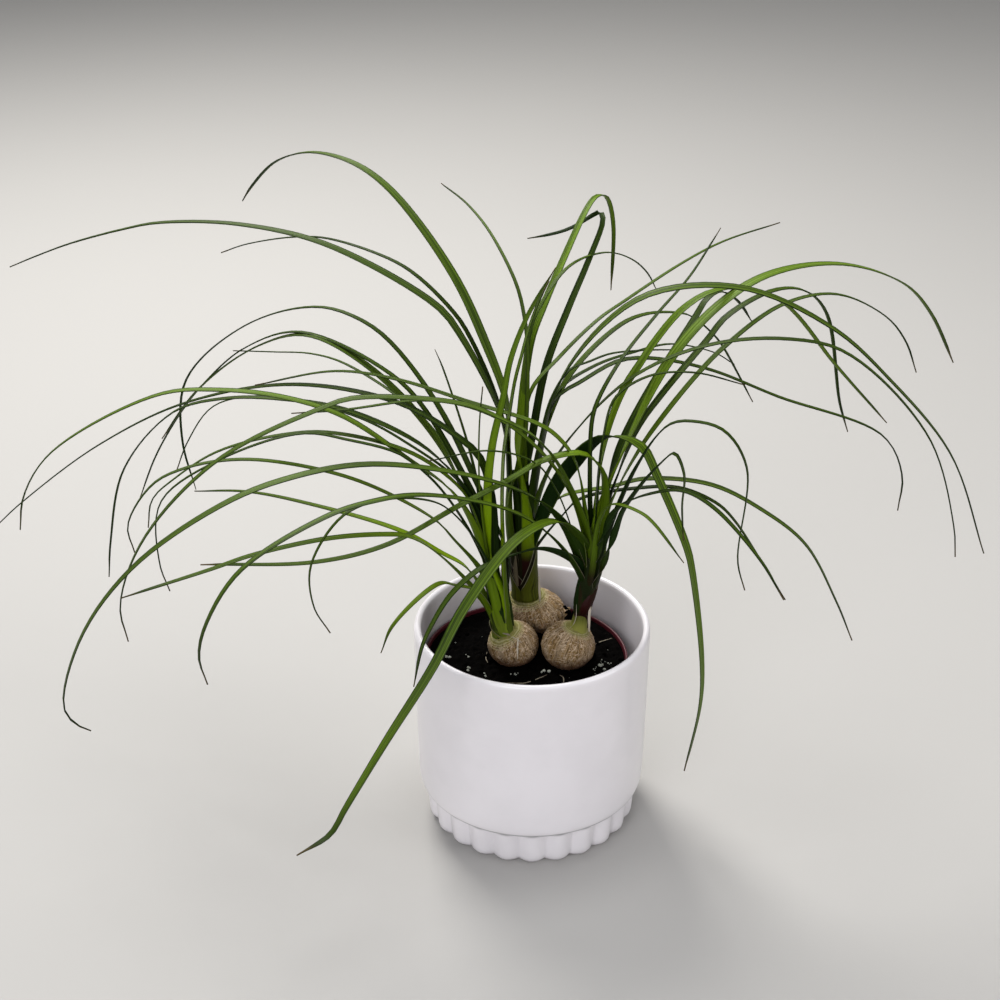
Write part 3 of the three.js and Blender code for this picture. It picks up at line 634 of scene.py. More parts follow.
def add_leaf(skin, shape, crown, stem, seed):
    """One leaf: a curve through its stations carries a section that is a thin arc of a circle. Low down the
    arc is broad and wraps the stem, and further out it opens to a shallow channel and turns from the
    foot's direction to the leaf's own."""
    own = shape["azimuth"]
    base = shape["base"]
    if base is None:
        base = own + BASE_SWING * math.sin(seed * SWING_STEP)
    root = shape["root"] or crown["root"]
    foot = min(crown["foot"] + FOOT_STEP * (seed % FOOT_LEVELS), root - LEAST_RISE)
    chance = seed * GOLDEN % 1
    past = shape["path"][0][1] - foot
    stations = leaf_stations(shape, crown, stem, base, foot, SNUG + SNUG_RANGE * chance)
    centre, length = even_path(stations, BLADE_STEPS)
    share = length / length[-1]
    twist_end = max(LEAST_TWIST, TWIST_SHARE * length[-1])
    facing = np.radians(base + (own - base) * ease(TWIST_START, twist_end, length))
    across = np.stack([-np.sin(facing), np.cos(facing), 0 * facing], -1)
    _, side, normal = along_frame(centre, across)
    roll = np.radians(np.interp(share, *zip(*shape["roll"])))[:, None]
    side, normal = side * np.cos(roll) + normal * np.sin(roll), normal * np.cos(roll) - side * np.sin(roll)
    low = 1 - ease(SHEATH_LOW, past + crown["broad"], length)
    half = blade_width(share, length, shape["width"]) / 2
    broad = max(shape["width"] * (shape["spread"] or crown["spread"]), LEAST_SHEATH) / 2
    half = half + low * (broad - half)
    wrap = 1 - ease(SHEATH_LOW, past + CURL_PAST_CROWN, length)
    bend = BLADE_CURL + (SHEATH_CURL - BLADE_CURL) * wrap
    bend = bend * (1 + CURL_WAVE * np.sin(share * CURL_WAVES + seed))
    stained = STAIN_MIDDLE + STAIN_RANGE * math.cos(math.radians(base - crown["stained"]))
    skin.tube(
        blade_rings(centre, side, normal, half, bend), across=BLADE_ACROSS / 2 + 0.5, along=share[:, None],
        tone=shape["tone"], warm=shape["warm"], under=BLADE_UNDER * shape["dull_and_shaded"], chance=chance,
        far=length[:, None] * MM, stain=crown["stain"] * stained,
    )


# Finishes

class Value:
    """One output of a shader node. A sum, difference or product with it adds a Math node."""

    def __init__(self, finish, socket):
        self.finish = finish
        self.socket = socket

    def maths(self, operation, *others, **settings):
        """A Math node of that operation on this value and the others."""
        values = dict(enumerate((self, *others)))
        return self.finish.node("ShaderNodeMath", {"operation": operation, **settings}, values)

    def __add__(self, other):
        return self.maths("ADD", other)

    __radd__ = __add__

    def __sub__(self, other):
        return self.maths("SUBTRACT", other)

    def __rsub__(self, other):
        return self.finish.node("ShaderNodeMath", {"operation": "SUBTRACT"}, {0: other, 1: self})

    def __mul__(self, other):
        return self.maths("MULTIPLY", other)

    __rmul__ = __mul__

    def clamp(self):
        """The value held between 0 and 1."""
        return self.maths("ADD", 0, use_clamp=True)

    def step(self, low, high):
        """A smooth step from 0 at low to 1 at high."""
        return self.finish.node(
            "ShaderNodeMapRange", {"interpolation_type": "SMOOTHSTEP"}, {"Value": self, 1: low, 2: high},
        )

    def line(self, middle, inner, outer):
        """1 where the value is within inner of the middle, fading to 0 at outer: a thin line in a noise."""
        return 1 - (self - middle).maths("ABSOLUTE").step(inner, outer)


class Finish:
    """A material built from a Principled shader, whose varying inputs are worked out as values."""

    def __init__(self, name, **constants):
        self.material = bpy.data.materials.new(name)
        self.material.use_nodes = True
        self.tree = self.material.node_tree
        self.shader = self.tree.nodes["Principled BSDF"]
        for key, value in constants.items():
            self.shader.inputs[key.replace("_", " ")].default_value = value

    def node(self, kind, settings=None, values=None, output=0):
        """Adds a node of that type: its settings are set first, a ramp's stops among them, then the
        values or links of its sockets. Returns the named or numbered output."""
        made = self.tree.nodes.new(kind)
        for key, value in (settings or {}).items():
            if key == "stops":
                elements = made.color_ramp.elements
                while len(elements) < len(value):
                    elements.new(1)
                for element, (place, colour) in zip(elements, value):
                    element.position = place
                    element.color = (*colour, 1)
            else:
                setattr(made, key, value)
        for key, value in (values or {}).items():
            self.feed(made.inputs[key], value)
        return Value(self, made.outputs[output])

    def feed(self, socket, value):
        """Links a value to a socket, or sets a number or a colour on it."""
        if isinstance(value, Value):
            self.tree.links.new(value.socket, socket)
        elif socket.type == "RGBA":
            socket.default_value = (*value, 1)
        else:
            socket.default_value = value

    def places(self, scale=(1, 1, 1), centre=(0, 0, 0), turn=(0, 0, 0)):
        """Object coordinates in metres about a centre, turned and then stretched by a Mapping node."""
        source = self.node("ShaderNodeTexCoord", output="Object")
        moved = self.node(
            "ShaderNodeVectorMath", {"operation": "SUBTRACT"}, {0: source, 1: tuple(c * MM for c in centre)},
        )
        return self.node("ShaderNodeMapping", {}, {"Vector": moved, "Rotation": turn, "Scale": scale})

    def noise(self, vector, scale=1.0, detail=3.0, roughness=0.55, distortion=0.0):
        """A fractal noise value about 0.5 at those places."""
        return self.node("ShaderNodeTexNoise", {}, {
            "Vector": vector, "Scale": scale, "Detail": detail, "Roughness": roughness,
            "Distortion": distortion,
        })

    def number(self, name):
        """A number stored at each corner of the mesh under that name."""
        return self.node("ShaderNodeAttribute", {"attribute_name": name}, output="Fac")

    def surface(self):
        """The shares across and along the surface that the mesh's own map holds."""
        return self.parts(self.node("ShaderNodeUVMap", {"uv_map": "surface"}))[:2]

    def mix(self, low, high, share):
        """A colour between two colours, by a share."""
        return self.node("ShaderNodeMix", {"data_type": "RGBA"}, {0: share, 6: low, 7: high}, 2)

    def layers(self, base, *coats):
        """The base colour with further colours laid over it in turn, each by its share."""
        for colour, share in coats:
            base = self.mix(base, colour, share)
        return base

    def join(self, x, y, z):
        """A vector from three values."""
        return self.node("ShaderNodeCombineXYZ", {}, {0: x, 1: y, 2: z})

    def parts(self, vector):
        """The three values of a vector."""
        split = self.tree.nodes.new("ShaderNodeSeparateXYZ")
        self.feed(split.inputs[0], vector)
        return [Value(self, socket) for socket in split.outputs]

    def done(self, colour, rough, height, distance, strength):
        """Feeds the shader its colour and roughness, and its normal from a Bump node, whose height is in
        metres once multiplied by the distance. Returns the material."""
        self.feed(self.shader.inputs["Base Color"], colour)
        self.feed(self.shader.inputs["Roughness"], rough)
        bump = {"Strength": strength, "Distance": distance, "Height": height}
        self.feed(self.shader.inputs["Normal"], self.node("ShaderNodeBump", {}, bump))
        return self.material


def toned(colour, *factors):
    """The colour multiplied by one factor, or each of its channels by a factor of its own."""
    return tuple(c * f for c, f in zip(colour, factors * 3))


def glaze_finish(colour):
    """Cool white glaze: faint cloudy tint, tiny specks, greyer at the very foot and a painted shadow in the
    groove under the ledge, over the flutes, with a slight waviness."""
    finish = Finish("white_glaze", IOR=1.5, Coat_Weight=0.35, Coat_Roughness=0.12)
    places = finish.places()
    cloud = finish.noise(places, 26, 4)
    speck = finish.noise(places, 420, 2)
    wave = finish.noise(places, 55, 2)
    height = finish.parts(places)[2]
    base = finish.layers(
        toned(colour, 0.965),
        (colour, cloud.step(0.35, 0.62)),
        (toned(colour, 0.86), speck.step(0.7, 0.82) * 0.4),
        (toned(colour, 0.8), (1 - height.step(0.0, 0.006)) * 0.5),
        # Painted shadow in the groove under the ledge, over the tops of the flutes
        (toned(colour, 0.14), finish.number("groove") * 0.62),
        (colour, finish.number("inside")),
    )
    return finish.done(base, 0.24 + cloud * 0.1 + speck * 0.05, wave + speck * 0.06, 0.00025, 0.4)


def plastic_finish(colour):
    """Dark red moulded plastic: fine grain, and scuffs round the lip that are paler and rougher."""
    finish = Finish("dark_red_plastic", IOR=1.46)
    grain = finish.noise(finish.places(), 900, 2)
    scuff = finish.noise(finish.places(scale=(1, 1, 6)), 130, 4)
    light = tuple(min(1, c + 0.02) for c in toned(colour, 1.9))
    base = finish.mix(colour, light, scuff.step(0.52, 0.75) * 0.6)
    return finish.done(base, 0.36 + scuff * 0.22, grain, 0.00012, 0.5)


def soil_finish(colour):
    """Moist peat: near-black with brown fibres and dull grey dust, rough and deeply pitted."""
    finish = Finish("moist_peat", Specular_IOR_Level=0.02)
    places = finish.places()
    lump = finish.noise(places, 210, 5, 0.65)
    fibre = finish.noise(finish.places(scale=(1, 4, 1), turn=(0, 0, 0.6)), 260, 4, 0.6, 0.8)
    dust = finish.noise(places, 900, 2)
    base = finish.layers(
        colour,
        (toned(colour, 2.6, 2.0, 1.6), fibre.step(0.5, 0.72)),
        ((0.014, 0.012, 0.01), dust.step(0.66, 0.8) * lump.step(0.45, 0.6) * 0.6),
    )
    return finish.done(base, 0.72 + lump * 0.22, lump + fibre * 0.4 + dust * 0.2, 0.0016, 0.8)


def perlite_finish():
    """Popped volcanic grains: chalky white with grey pits."""
    finish = Finish("perlite_grains", IOR=1.45)
    pit = finish.noise(finish.places(), 1500, 3)
    base = finish.mix((0.4, 0.42, 0.36), (0.14, 0.14, 0.11), pit.step(0.55, 0.75))
    return finish.done(base, 0.8 + pit * 0.15, pit, 0.0003, 0.7)


def root_finish():
    """Dried fine roots: straw coloured, darker in patches, with small wrinkles."""
    finish = Finish("dried_roots", IOR=1.42)
    places = finish.places()
    patch = finish.noise(places, 240, 3)
    base = finish.mix((0.34, 0.3, 0.22), (0.12, 0.09, 0.06), patch.step(0.4, 0.7))
    return finish.done(base, 0.75 + patch * 0.15, finish.noise(places, 1800, 2), 0.0002, 0.6)


def bark_finish(name, colour, centre, turn):
    """Bulb bark: tan with pale and dark fibres that run down from the stem's foot, slanting scratches, pores
    and patches, pale green rings at the neck and a dark red underside, partly the bark's own colour and
    partly painted shade where the bulb meets the soil. The fibres are noise over the angle about an axis
    through the stem's foot, stretched along the distance from it. The scratches are the same noise read
    along a slant."""
    finish = Finish(name, IOR=1.4, Specular_IOR_Level=0.25)
    places = finish.places(centre=centre, turn=(0, turn, 0))
    x, y, z = finish.parts(places)
    angle = y.maths("ARCTAN2", x)
    sine, cosine = angle.maths("SINE"), angle.maths("COSINE")
    warp = finish.noise(places, 130, 3)
    broad = finish.noise(finish.join(sine * 10 + warp * 2, cosine * 10, z * 90 + warp * 3), roughness=0.6)
    fibre = finish.noise(finish.join(sine * 20 + warp * 2, cosine * 20, z * 110 + warp * 2), 1, 4, 0.65)
    slant = finish.noise(
        finish.join(sine * 9 + z * 800, cosine * 9 - z * 600, z * 90 + warp * 2), 1, 2, 0.6, 0.3,
    )
    curl = finish.noise(finish.places(scale=(1, 1, 0.8)), 170, 3, 0.6, 1.2)
    fleck = finish.noise(finish.places(scale=(1, 1, 0.7)), 800, 3, 0.6)
    pore = finish.noise(places, 330, 4, 0.7)
    patch = finish.noise(finish.join(sine * 4, cosine * 4, z * 60), 0.9)
    hairs = curl.line(0.5, 0.004, 0.02)
    neck = finish.number("neck")
    rings = ((neck * 26 + warp * 5).maths("SINE") * 0.5 + 0.5) * neck.step(0.02, 0.2)
    dark = toned(colour, 0.16, 0.11, 0.07)
    pale = tuple(min(1, c + 0.12) for c in toned(colour, 1.6, 1.6, 1.7))
    base = finish.layers(
        colour,
        (toned(colour, 0.8, 0.68, 0.42), patch.step(0.4, 0.6) * 0.9),
        (dark, (1 - broad.step(0.38, 0.46)) * 0.55),
        (dark, (1 - fibre.step(0.38, 0.46)) * 0.65),
        (pale, broad.step(0.56, 0.62) * 0.35),
        (pale, fibre.step(0.55, 0.62) * 0.5),
        (dark, pore.step(0.57, 0.65) * 0.3),
        (dark, curl.line(0.41, 0.003, 0.016) * 0.35),
        (pale, (hairs + slant.step(0.58, 0.63)).clamp() * 0.85),
        (dark, fleck.step(0.6, 0.68) * 0.3),
        ((0.22, 0.22, 0.05), neck.step(0.25, 1) * 0.8),
        ((0.5, 0.46, 0.24), rings.step(0.5, 0.9) * 0.6),
        # Darker red towards the soil: partly the bark's own colour, partly painted shade
        (toned(colour, 0.25, 0.13, 0.11), finish.number("foot") * 0.9),
    )
    height = fibre + broad * 0.5 + hairs * 0.5 - pore.step(0.55, 0.75) * 0.6
    return finish.done(base, 0.72 + fibre * 0.2, height, 0.0007, 0.9)


# Colours of the leaves that the panel doesn't list
STAIN = (0.026, 0.003, 0.004)
MARGIN = (0.42, 0.38, 0.27)
VEIN = (0.2, 0.28, 0.06)
DRY = (0.13, 0.085, 0.04)


def leaf_finish(name, looks):
    """Leaf blades. The tone and hue stored with each leaf pick its green, which streaks, lines and fine
    veins vary; the tone is partly the leaf's own green and partly painted light and shade. They are noise
    across the blade, stretched along it, with a painted highlight along its middle. By the distance from
    its foot the blade is pale, paler on the lighter leaves as painted light, or stained with a pale
    margin, then yellow-green on the lighter leaves, partly young green and partly painted glow, and
    painted shade on the darker ones, and by its share of the length it ends in a dark, dry tip. The
    underside is near-black green, partly duller and partly painted shade."""
    finish = Finish(name, Specular_IOR_Level=0.1)
    deep, bright, grey, base_green_and_glow, sheath = (
        tuple(colour) for colour in (looks.deep, looks.bright, looks.grey, looks.base_green_and_light, looks.sheath)
    )
    tone, warm, under, chance, far = (
        finish.number(key) for key in ("tone", "warm", "under", "chance", "far")
    )
    u, v = finish.surface()
    across = (u - 0.5).maths("ABSOLUTE")
    streak = finish.noise(finish.join(u * 6, far * 14, chance * 40), detail=2)
    lines = finish.noise(finish.join(u * 13, far * 4, chance * 70), detail=1)
    veins = finish.noise(finish.join(u * 34, far * 5, chance * 60), 1, 2, 0.6)
    mottle = finish.noise(finish.join(u * 2, far * 55, chance * 80))
    middle = 1 - across.step(0.0, 0.09)
    edge = across.step(0.36, 0.5)
    margin = across.step(0.45, 0.48) * (1 - far.step(0.015, 0.06))
    stain = (finish.number("stain") * (1 - far.step(0.012, 0.045)) * 1.6).clamp()
    base_green_and_light = 1 - far.step(0.04, 0.17)
    # lit: the lighter leaves by their tone, which stands partly for painted light on lit leaves
    lit = tone.step(0.22, 0.6)
    base = finish.layers(
        finish.mix(finish.mix(deep, grey, tone), finish.mix(deep, bright, tone), warm),
        (bright, (streak - 0.4).clamp() * (0.4 + tone) * 2),
        # Painted highlight along the middle of the blade
        (bright, middle * 0.35),
        (deep, (1 - lines.step(0.36, 0.52)) * 0.7),
        (deep, (1 - veins.step(0.34, 0.52)) * 0.5),
        (VEIN, lines.step(0.6, 0.7) * (0.15 + tone * 0.35)),
        (deep, edge * 0.6),
        # Near the feet: painted shade on the darker leaves, and on the lighter ones yellow-green that is
        # partly young green and partly painted glow of backlit leaves
        (deep, base_green_and_light * (1 - lit) * 0.8),
        (base_green_and_glow, base_green_and_light * lit * (0.35 + warm * 0.8).clamp() * (1 - edge * 0.7)),
        # The pale green of the foot, paler on the lighter leaves as painted light
        (sheath, (1 - far.step(0.002, 0.024)) * (0.35 + lit * 0.4)),
        (STAIN, stain),
        (MARGIN, margin * 0.55),
        (toned(deep, 0.7), v.step(0.82, 0.99) * 0.7),
        (DRY, v.step(0.955, 1.0) * mottle.step(0.3, 0.6)),
        (deep, mottle.step(0.6, 0.75) * 0.35),
        # Near-black underside: partly a duller underside, partly painted shade
        (toned(deep, 1.2, 1.3, 1.1), under),
    )
    return finish.done(base, 0.36 + veins * 0.16 + under * 0.16, veins + middle * 0.8, 0.00022, 0.6)


def sheath_finish():
    """Sheaths of old leaves: pale olive, green, near-black green, dark maroon and dry straw by the stored
    tint, streaked along the stem, with thin pale margins."""
    finish = Finish("sheaths", Specular_IOR_Level=0.12)
    u, v = finish.surface()
    x, y, z = finish.parts(finish.places())
    streak = finish.noise(finish.join(u * 34, v * 1.6, 0), 1, 4, 0.6)
    fine = finish.noise(finish.join(x * 900, y * 900, z * 60))
    tint = finish.number("tint")
    shade = tint.step(0.05, 0.2)
    by_tint = finish.node("ShaderNodeValToRGB", {"stops": [
        (0.0, (0.26, 0.26, 0.055)), (0.25, (0.085, 0.1, 0.006)), (0.5, (0.006, 0.009, 0.001)),
        (0.75, (0.024, 0.003, 0.004)), (0.88, (0.1, 0.075, 0.03)), (1.0, (0.7, 0.62, 0.5)),
    ]}, {0: tint})
    base = finish.layers(
        by_tint,
        ((0.003, 0.003, 0.001), (1 - streak.step(0.36, 0.56)) * 0.55 * shade),
        ((0.01, 0.02, 0.001), v.step(0.1, 0.8) * 0.6 * shade * (1 - tint.step(0.7, 0.8))),
        ((0.05, 0.03, 0.02), fine.step(0.58, 0.7) * 0.3 * shade),
        ((0.3, 0.28, 0.19), finish.number("rim") * 0.75),
    )
    return finish.done(base, 0.44 + streak * 0.25, streak + fine * 0.3, 0.0003, 0.7)


def floor_finish(colour):
    """A plain pale floor with a barely visible mottle."""
    finish = Finish("pale_floor", Roughness=0.85)
    cloud = finish.noise(finish.places(), 3)
    finish.feed(finish.shader.inputs["Base Color"], finish.mix(toned(colour, 0.98), colour, cloud))
    return finish.material


# Sizes and colours that can be changed

def colour_property(name, description, default):
    """A colour for the panel."""
    return bpy.props.FloatVectorProperty(
        name=name, description=description, default=default, subtype="COLOR", size=3, min=0, max=1,
    )


def length_property(name, description, default, most):
    """A length in metres for the panel, from nothing to the most that still looks right."""
    return bpy.props.FloatProperty(
        name=name, description=description, default=default, min=0, max=most, unit="LENGTH",
    )


class PotLooks(bpy.types.PropertyGroup):
    """Sizes and colour of the ceramic pot."""

    lobes: bpy.props.IntProperty(
        name="Lobes", description="Number of rounded lobes round the foot", default=24, min=8, max=48,
    )
    lobe_depth: length_property("Lobe depth", "How deep the grooves between the lobes are", 0.0032, 0.006)
    colour: colour_property("Glaze", "Colour of the glaze", (0.9, 0.868, 0.9))


class FillLooks(bpy.types.PropertyGroup):
    """Colours of the nursery pot and of the soil, and the amount of loose grains."""

    plastic: colour_property("Nursery pot", "Colour of the nursery pot", (0.07, 0.006, 0.012))
    soil: colour_property("Soil", "Colour of the moist soil", (0.0011, 0.0009, 0.0008))
    roughness: length_property("Lumpiness", "Height of the lumps in the soil", 0.0013, 0.004)
    grains: bpy.props.IntProperty(
        name="Grains", description="Number of small loose white grains", default=30, min=0, max=200,
    )


class BulbLooks(bpy.types.PropertyGroup):
    """Colour and roughness of the bulbs."""

    bark: colour_property("Bark", "Colour of the bark", (0.33, 0.235, 0.135))
    relief: length_property("Bark relief", "Height of the bark's wrinkles", 0.00022, 0.002)


class LeafLooks(bpy.types.PropertyGroup):
    """Colours of the leaves."""

    deep: colour_property("Deep", "Darkest green of the blades", (0.004, 0.014, 0.0006))
    bright: colour_property("Bright", "Brightest green of the blades", (0.14, 0.245, 0.005))
    grey: colour_property("Grey green", "Grey-green of the duller blades", (0.1, 0.15, 0.034))
    # Yellow-green near the bases, partly young green and partly painted glow of backlit leaves
    base_green_and_light: colour_property("Young", "Yellow-green near the bases", (0.21, 0.34, 0.0005))
    sheath: colour_property("Sheath", "Pale green of the blades' feet on the stem", (0.22, 0.27, 0.035))


class StageLooks(bpy.types.PropertyGroup):
    """Colour of the floor and strength of the lights."""

    floor: colour_property("Floor", "Colour of the floor", (0.47, 0.46, 0.445))
    light: bpy.props.FloatProperty(
        name="Light", description="Strength of all the lights", default=1.0, min=0, max=10,
        subtype="FACTOR",
    )


# Pieces

CORNERS_PER_LOBE = 16
POT_FINENESS = 3
FLUTE_OUTER_RADIUS = 58
# Past this share of the profile and inside this radius the glaze is the pot's inside
INSIDE_SHARE = 0.55
INSIDE_RADIUS = 64.2
# Heights where the painted shadow of the ledge over the flutes starts, is full, starts to fade and ends
GROOVE_SHADOW_HEIGHTS = (20.6, 21.6, 24.2, 25)


class PALM_OT_ceramic_pot(bpy.types.Operator):
    """Build the white ceramic pot with its ledge and fluted foot"""

    bl_idname = "palm.ceramic_pot"
    bl_label = "Ceramic pot"

    def execute(self, context):
        """Turns the profile, and draws its foot in by 1 less the size of the cosine of half the lobes'
        angle, so that the lobes are round and the grooves sharp."""
        looks = context.scene.palm_pot
        profile = finer(POT_PROFILE, POT_FINENESS)
        rings = turned(profile, looks.lobes * CORNERS_PER_LOBE)
        x, y, z = np.moveaxis(rings, -1, 0)
        radius = np.hypot(x, y)
        valley = 1 - np.abs(np.cos(np.arctan2(y, x) * looks.lobes / 2))
        foot = 1 - ease(FLUTE_TOP - FLUTE_FADE, FLUTE_TOP, z)
        foot = foot * ease(FLUTE_INNER_RADIUS, FLUTE_OUTER_RADIUS, radius)
        within = (np.arange(len(profile)) > len(profile) * INSIDE_SHARE) & (profile[:, 0] < INSIDE_RADIUS)
        foot[within] = 0
        share = 1 - foot * looks.lobe_depth / MM * valley / np.maximum(radius, 1)
        rings[..., :2] *= share[..., None]
        inside = within[:, None].astype(float)
        # The painted shadow of the ledge fades in and out between these heights, and not inside the pot
        start, full, fade, end = GROOVE_SHADOW_HEIGHTS
        groove = ease(start, full, z) * (1 - ease(fade, end, z)) * (1 - inside)
        skin = Skin()
        skin.tube(rings, inside=inside, groove=groove)
        skin.piece("ceramic_pot", glaze_finish(tuple(looks.colour)), "outer_pot", ["outer_pot"])
        return {"FINISHED"}


NURSERY_SIDES = 180
NURSERY_FINENESS = 2


class PALM_OT_nursery_pot(bpy.types.Operator):
    """Build the thin dark red nursery pot with its rolled lip"""

    bl_idname = "palm.nursery_pot"
    bl_label = "Nursery pot"

    def execute(self, context):
        skin = Skin()
        skin.tube(turned(finer(NURSERY_PROFILE, NURSERY_FINENESS), NURSERY_SIDES, NURSERY_OFFSET))
        finish = plastic_finish(tuple(context.scene.palm_fill.plastic))
        skin.piece("nursery_pot_shell", finish, "nursery_pot", ["nursery_pot"])
        return {"FINISHED"}


SOIL_SIDES = 256
SOIL_RINGS = 72
SOIL_MIDDLE = 0.4
SOIL_WALL_GAP = 0.6
# Lumps as size, seed and share of the height, and over what width they fade out at the rim
SOIL_LUMPS = ((9, 5, 0.5), (3.6, 6, 0.4), (1.9, 7, 0.25))
SOIL_FADE = 4


def soil_height(x, y, lump):
    """Height of the soil at each place: a low dome, plus lumps of three sizes that fade out at the rim."""
    radius = np.hypot(x - NURSERY_OFFSET, y)
    dome = SOIL_EDGE + SOIL_DOME * (1 - (radius / SOIL_EDGE_RADIUS) ** 2)
    places = np.stack([x, y, np.zeros_like(x)], -1)
    rough = sum(ripple(places, size, seed) * share for size, seed, share in SOIL_LUMPS)
    return dome + lump * rough * ease(0, SOIL_FADE, SOIL_EDGE_RADIUS + 1 - radius)


def soil_bed(lump):
    """The bed's rings: its base and wall, then rings from the edge to the middle of its lumpy top."""
    side = [(0, SOIL_BASE), (SOIL_BASE_RADIUS, SOIL_BASE), (SOIL_EDGE_RADIUS - SOIL_WALL_GAP, SOIL_LIP_FOOT)]
    top = [(radius, SOIL_EDGE) for radius in np.linspace(SOIL_EDGE_RADIUS, SOIL_MIDDLE, SOIL_RINGS)]
    rings = turned(side + top, SOIL_SIDES, NURSERY_OFFSET)
    upper = rings[len(side):]
    upper[..., 2] = soil_height(upper[..., 0], upper[..., 1], lump)
    return rings


GRAIN_RINGS = 5
GRAIN_SIDES = 6
GRAIN_POLE = 0.35
GRAIN_STRETCH = (0.65, 1.2)
GRAIN_DENTS = (0.75, 1.2)


def grain_rings(centre, size, chance):
    """An irregular grain: rings of corners on a ball, each corner pushed in or out at random."""
    grain, _, _ = ball(GRAIN_POLE, GRAIN_RINGS, GRAIN_SIDES)
    stretch = chance.uniform(*GRAIN_STRETCH, 3)
    dents = chance.uniform(*GRAIN_DENTS, (GRAIN_RINGS, GRAIN_SIDES, 1))
    return np.asarray(centre) + grain * size * stretch * dents


def lying_grain(x, y, size, rise, lump, chance):
    """A grain on the soil, whose middle is raised by a share of its size."""
    z = float(soil_height(np.array([x]), np.array([y]), lump)[0])
    return grain_rings((x, y, z + size * rise), size, chance)


GRAINS_PER_CLUSTER = 4
CLUSTER_SIZES = (0.25, 0.7)
LOOSE_SIZES = (0.15, 0.4)
CRUMB_SIZES = (0.6, 1.7)
CRUMBS_PER_GRAIN = 3
# Grains lie within this share of the soil's area, and with this share of their size above it
SOIL_AREA = 0.93
GRAIN_RISE = 0.35
CRUMB_RISE = 0.2
CRUMB_SHADE = 0.8
ROOT_RISE = 0.6
ROOT_RADII = (0.1, 0.24, 0.3, 0.22, 0.1)
ROOT_SIDES = 8
ROOT_STEPS = 26
SCATTER_SEED = 31


def scatter(grains, lump):
    """White grains in clusters and loose, then crumbs of peat, all drawn from one seed: an even draw over
    the soil takes the root of the share of its area as the radius."""
    chance = np.random.default_rng(SCATTER_SEED)
    pale = Skin()
    dark = Skin()
    spots = [
        (x + chance.normal(0, size), y + chance.normal(0, size), size * chance.uniform(*CLUSTER_SIZES))
        for x, y, size in PERLITE for _ in range(GRAINS_PER_CLUSTER)
    ]
    radius = SOIL_EDGE_RADIUS * np.sqrt(chance.uniform(0, SOIL_AREA, grains))
    angle = chance.uniform(0, 2 * np.pi, grains)
    sizes = chance.uniform(*LOOSE_SIZES, grains)
    spots += list(zip(NURSERY_OFFSET + radius * np.cos(angle), radius * np.sin(angle), sizes))
    for x, y, size in spots:
        pale.tube(lying_grain(x, y, size, GRAIN_RISE, lump, chance))
    for _ in range(grains * CRUMBS_PER_GRAIN):
        radius = SOIL_EDGE_RADIUS * math.sqrt(chance.uniform(0, SOIL_AREA))
        angle = chance.uniform(0, 2 * np.pi)
        x, y = NURSERY_OFFSET + radius * math.cos(angle), radius * math.sin(angle)
        dark.tube(lying_grain(x, y, chance.uniform(*CRUMB_SIZES), CRUMB_RISE, lump, chance))
    for centre, size in STUCK_CRUMBS:
        dark.tube(grain_rings(centre, size, chance))
    return pale, dark


class PALM_OT_soil(bpy.types.Operator):
    """Build the soil with its perlite, crumbs and dried roots"""

    bl_idname = "palm.soil"
    bl_label = "Soil"

    def execute(self, context):
        """Makes the bed, the grains and crumbs on it, and thin round roots that follow its height."""
        looks = context.scene.palm_fill
        lump = looks.roughness / MM
        bed = Skin()
        bed.tube(soil_bed(lump))
        bed.piece("soil_bed", soil_finish(tuple(looks.soil)), "soil", ["soil"])
        pale, dark = scatter(looks.grains, lump)
        pale.piece("perlite", perlite_finish(), "soil")
        dark.piece("peat_crumbs", soil_finish(toned(looks.soil, CRUMB_SHADE)), "soil")
        roots = Skin()
        for path in ROOT_PATHS:
            x, y = np.array(path, float).T
            z = soil_height(x, y, lump) + ROOT_RISE
            roots.tube(round_tube(np.stack([x, y, z], 1), ROOT_RADII, ROOT_SIDES, ROOT_STEPS))
        roots.piece("dried_roots", root_finish(), "soil")
        return {"FINISHED"}


BULB_RINGS = 72
BULB_SIDES = 128
BULB_POLE = 0.05
TAIL_STEPS = 14
# Long ripples of the bark: rates round the bulb and down it, size, first seed and share of the height
LINE_RATES = (8, 2.2)
LINE_SIZE = 1.3
LINE_SEED = 11
LINE_SHARE = 0.6
# Its round ripples as size, seed and share of the height
BARK_LUMPS = ((7, 3, 0.7), (2.6, 4, 0.4))
# The neck fades out between these shares of the stem's radius, and over this height past the middle
NECK_SHARES = (0.9, 1.5)
NECK_RISE = 6
# The dark underside, partly the bark's own red and partly painted shade, fades out between these heights
# over the soil
UNDERSIDE = (1, 11)


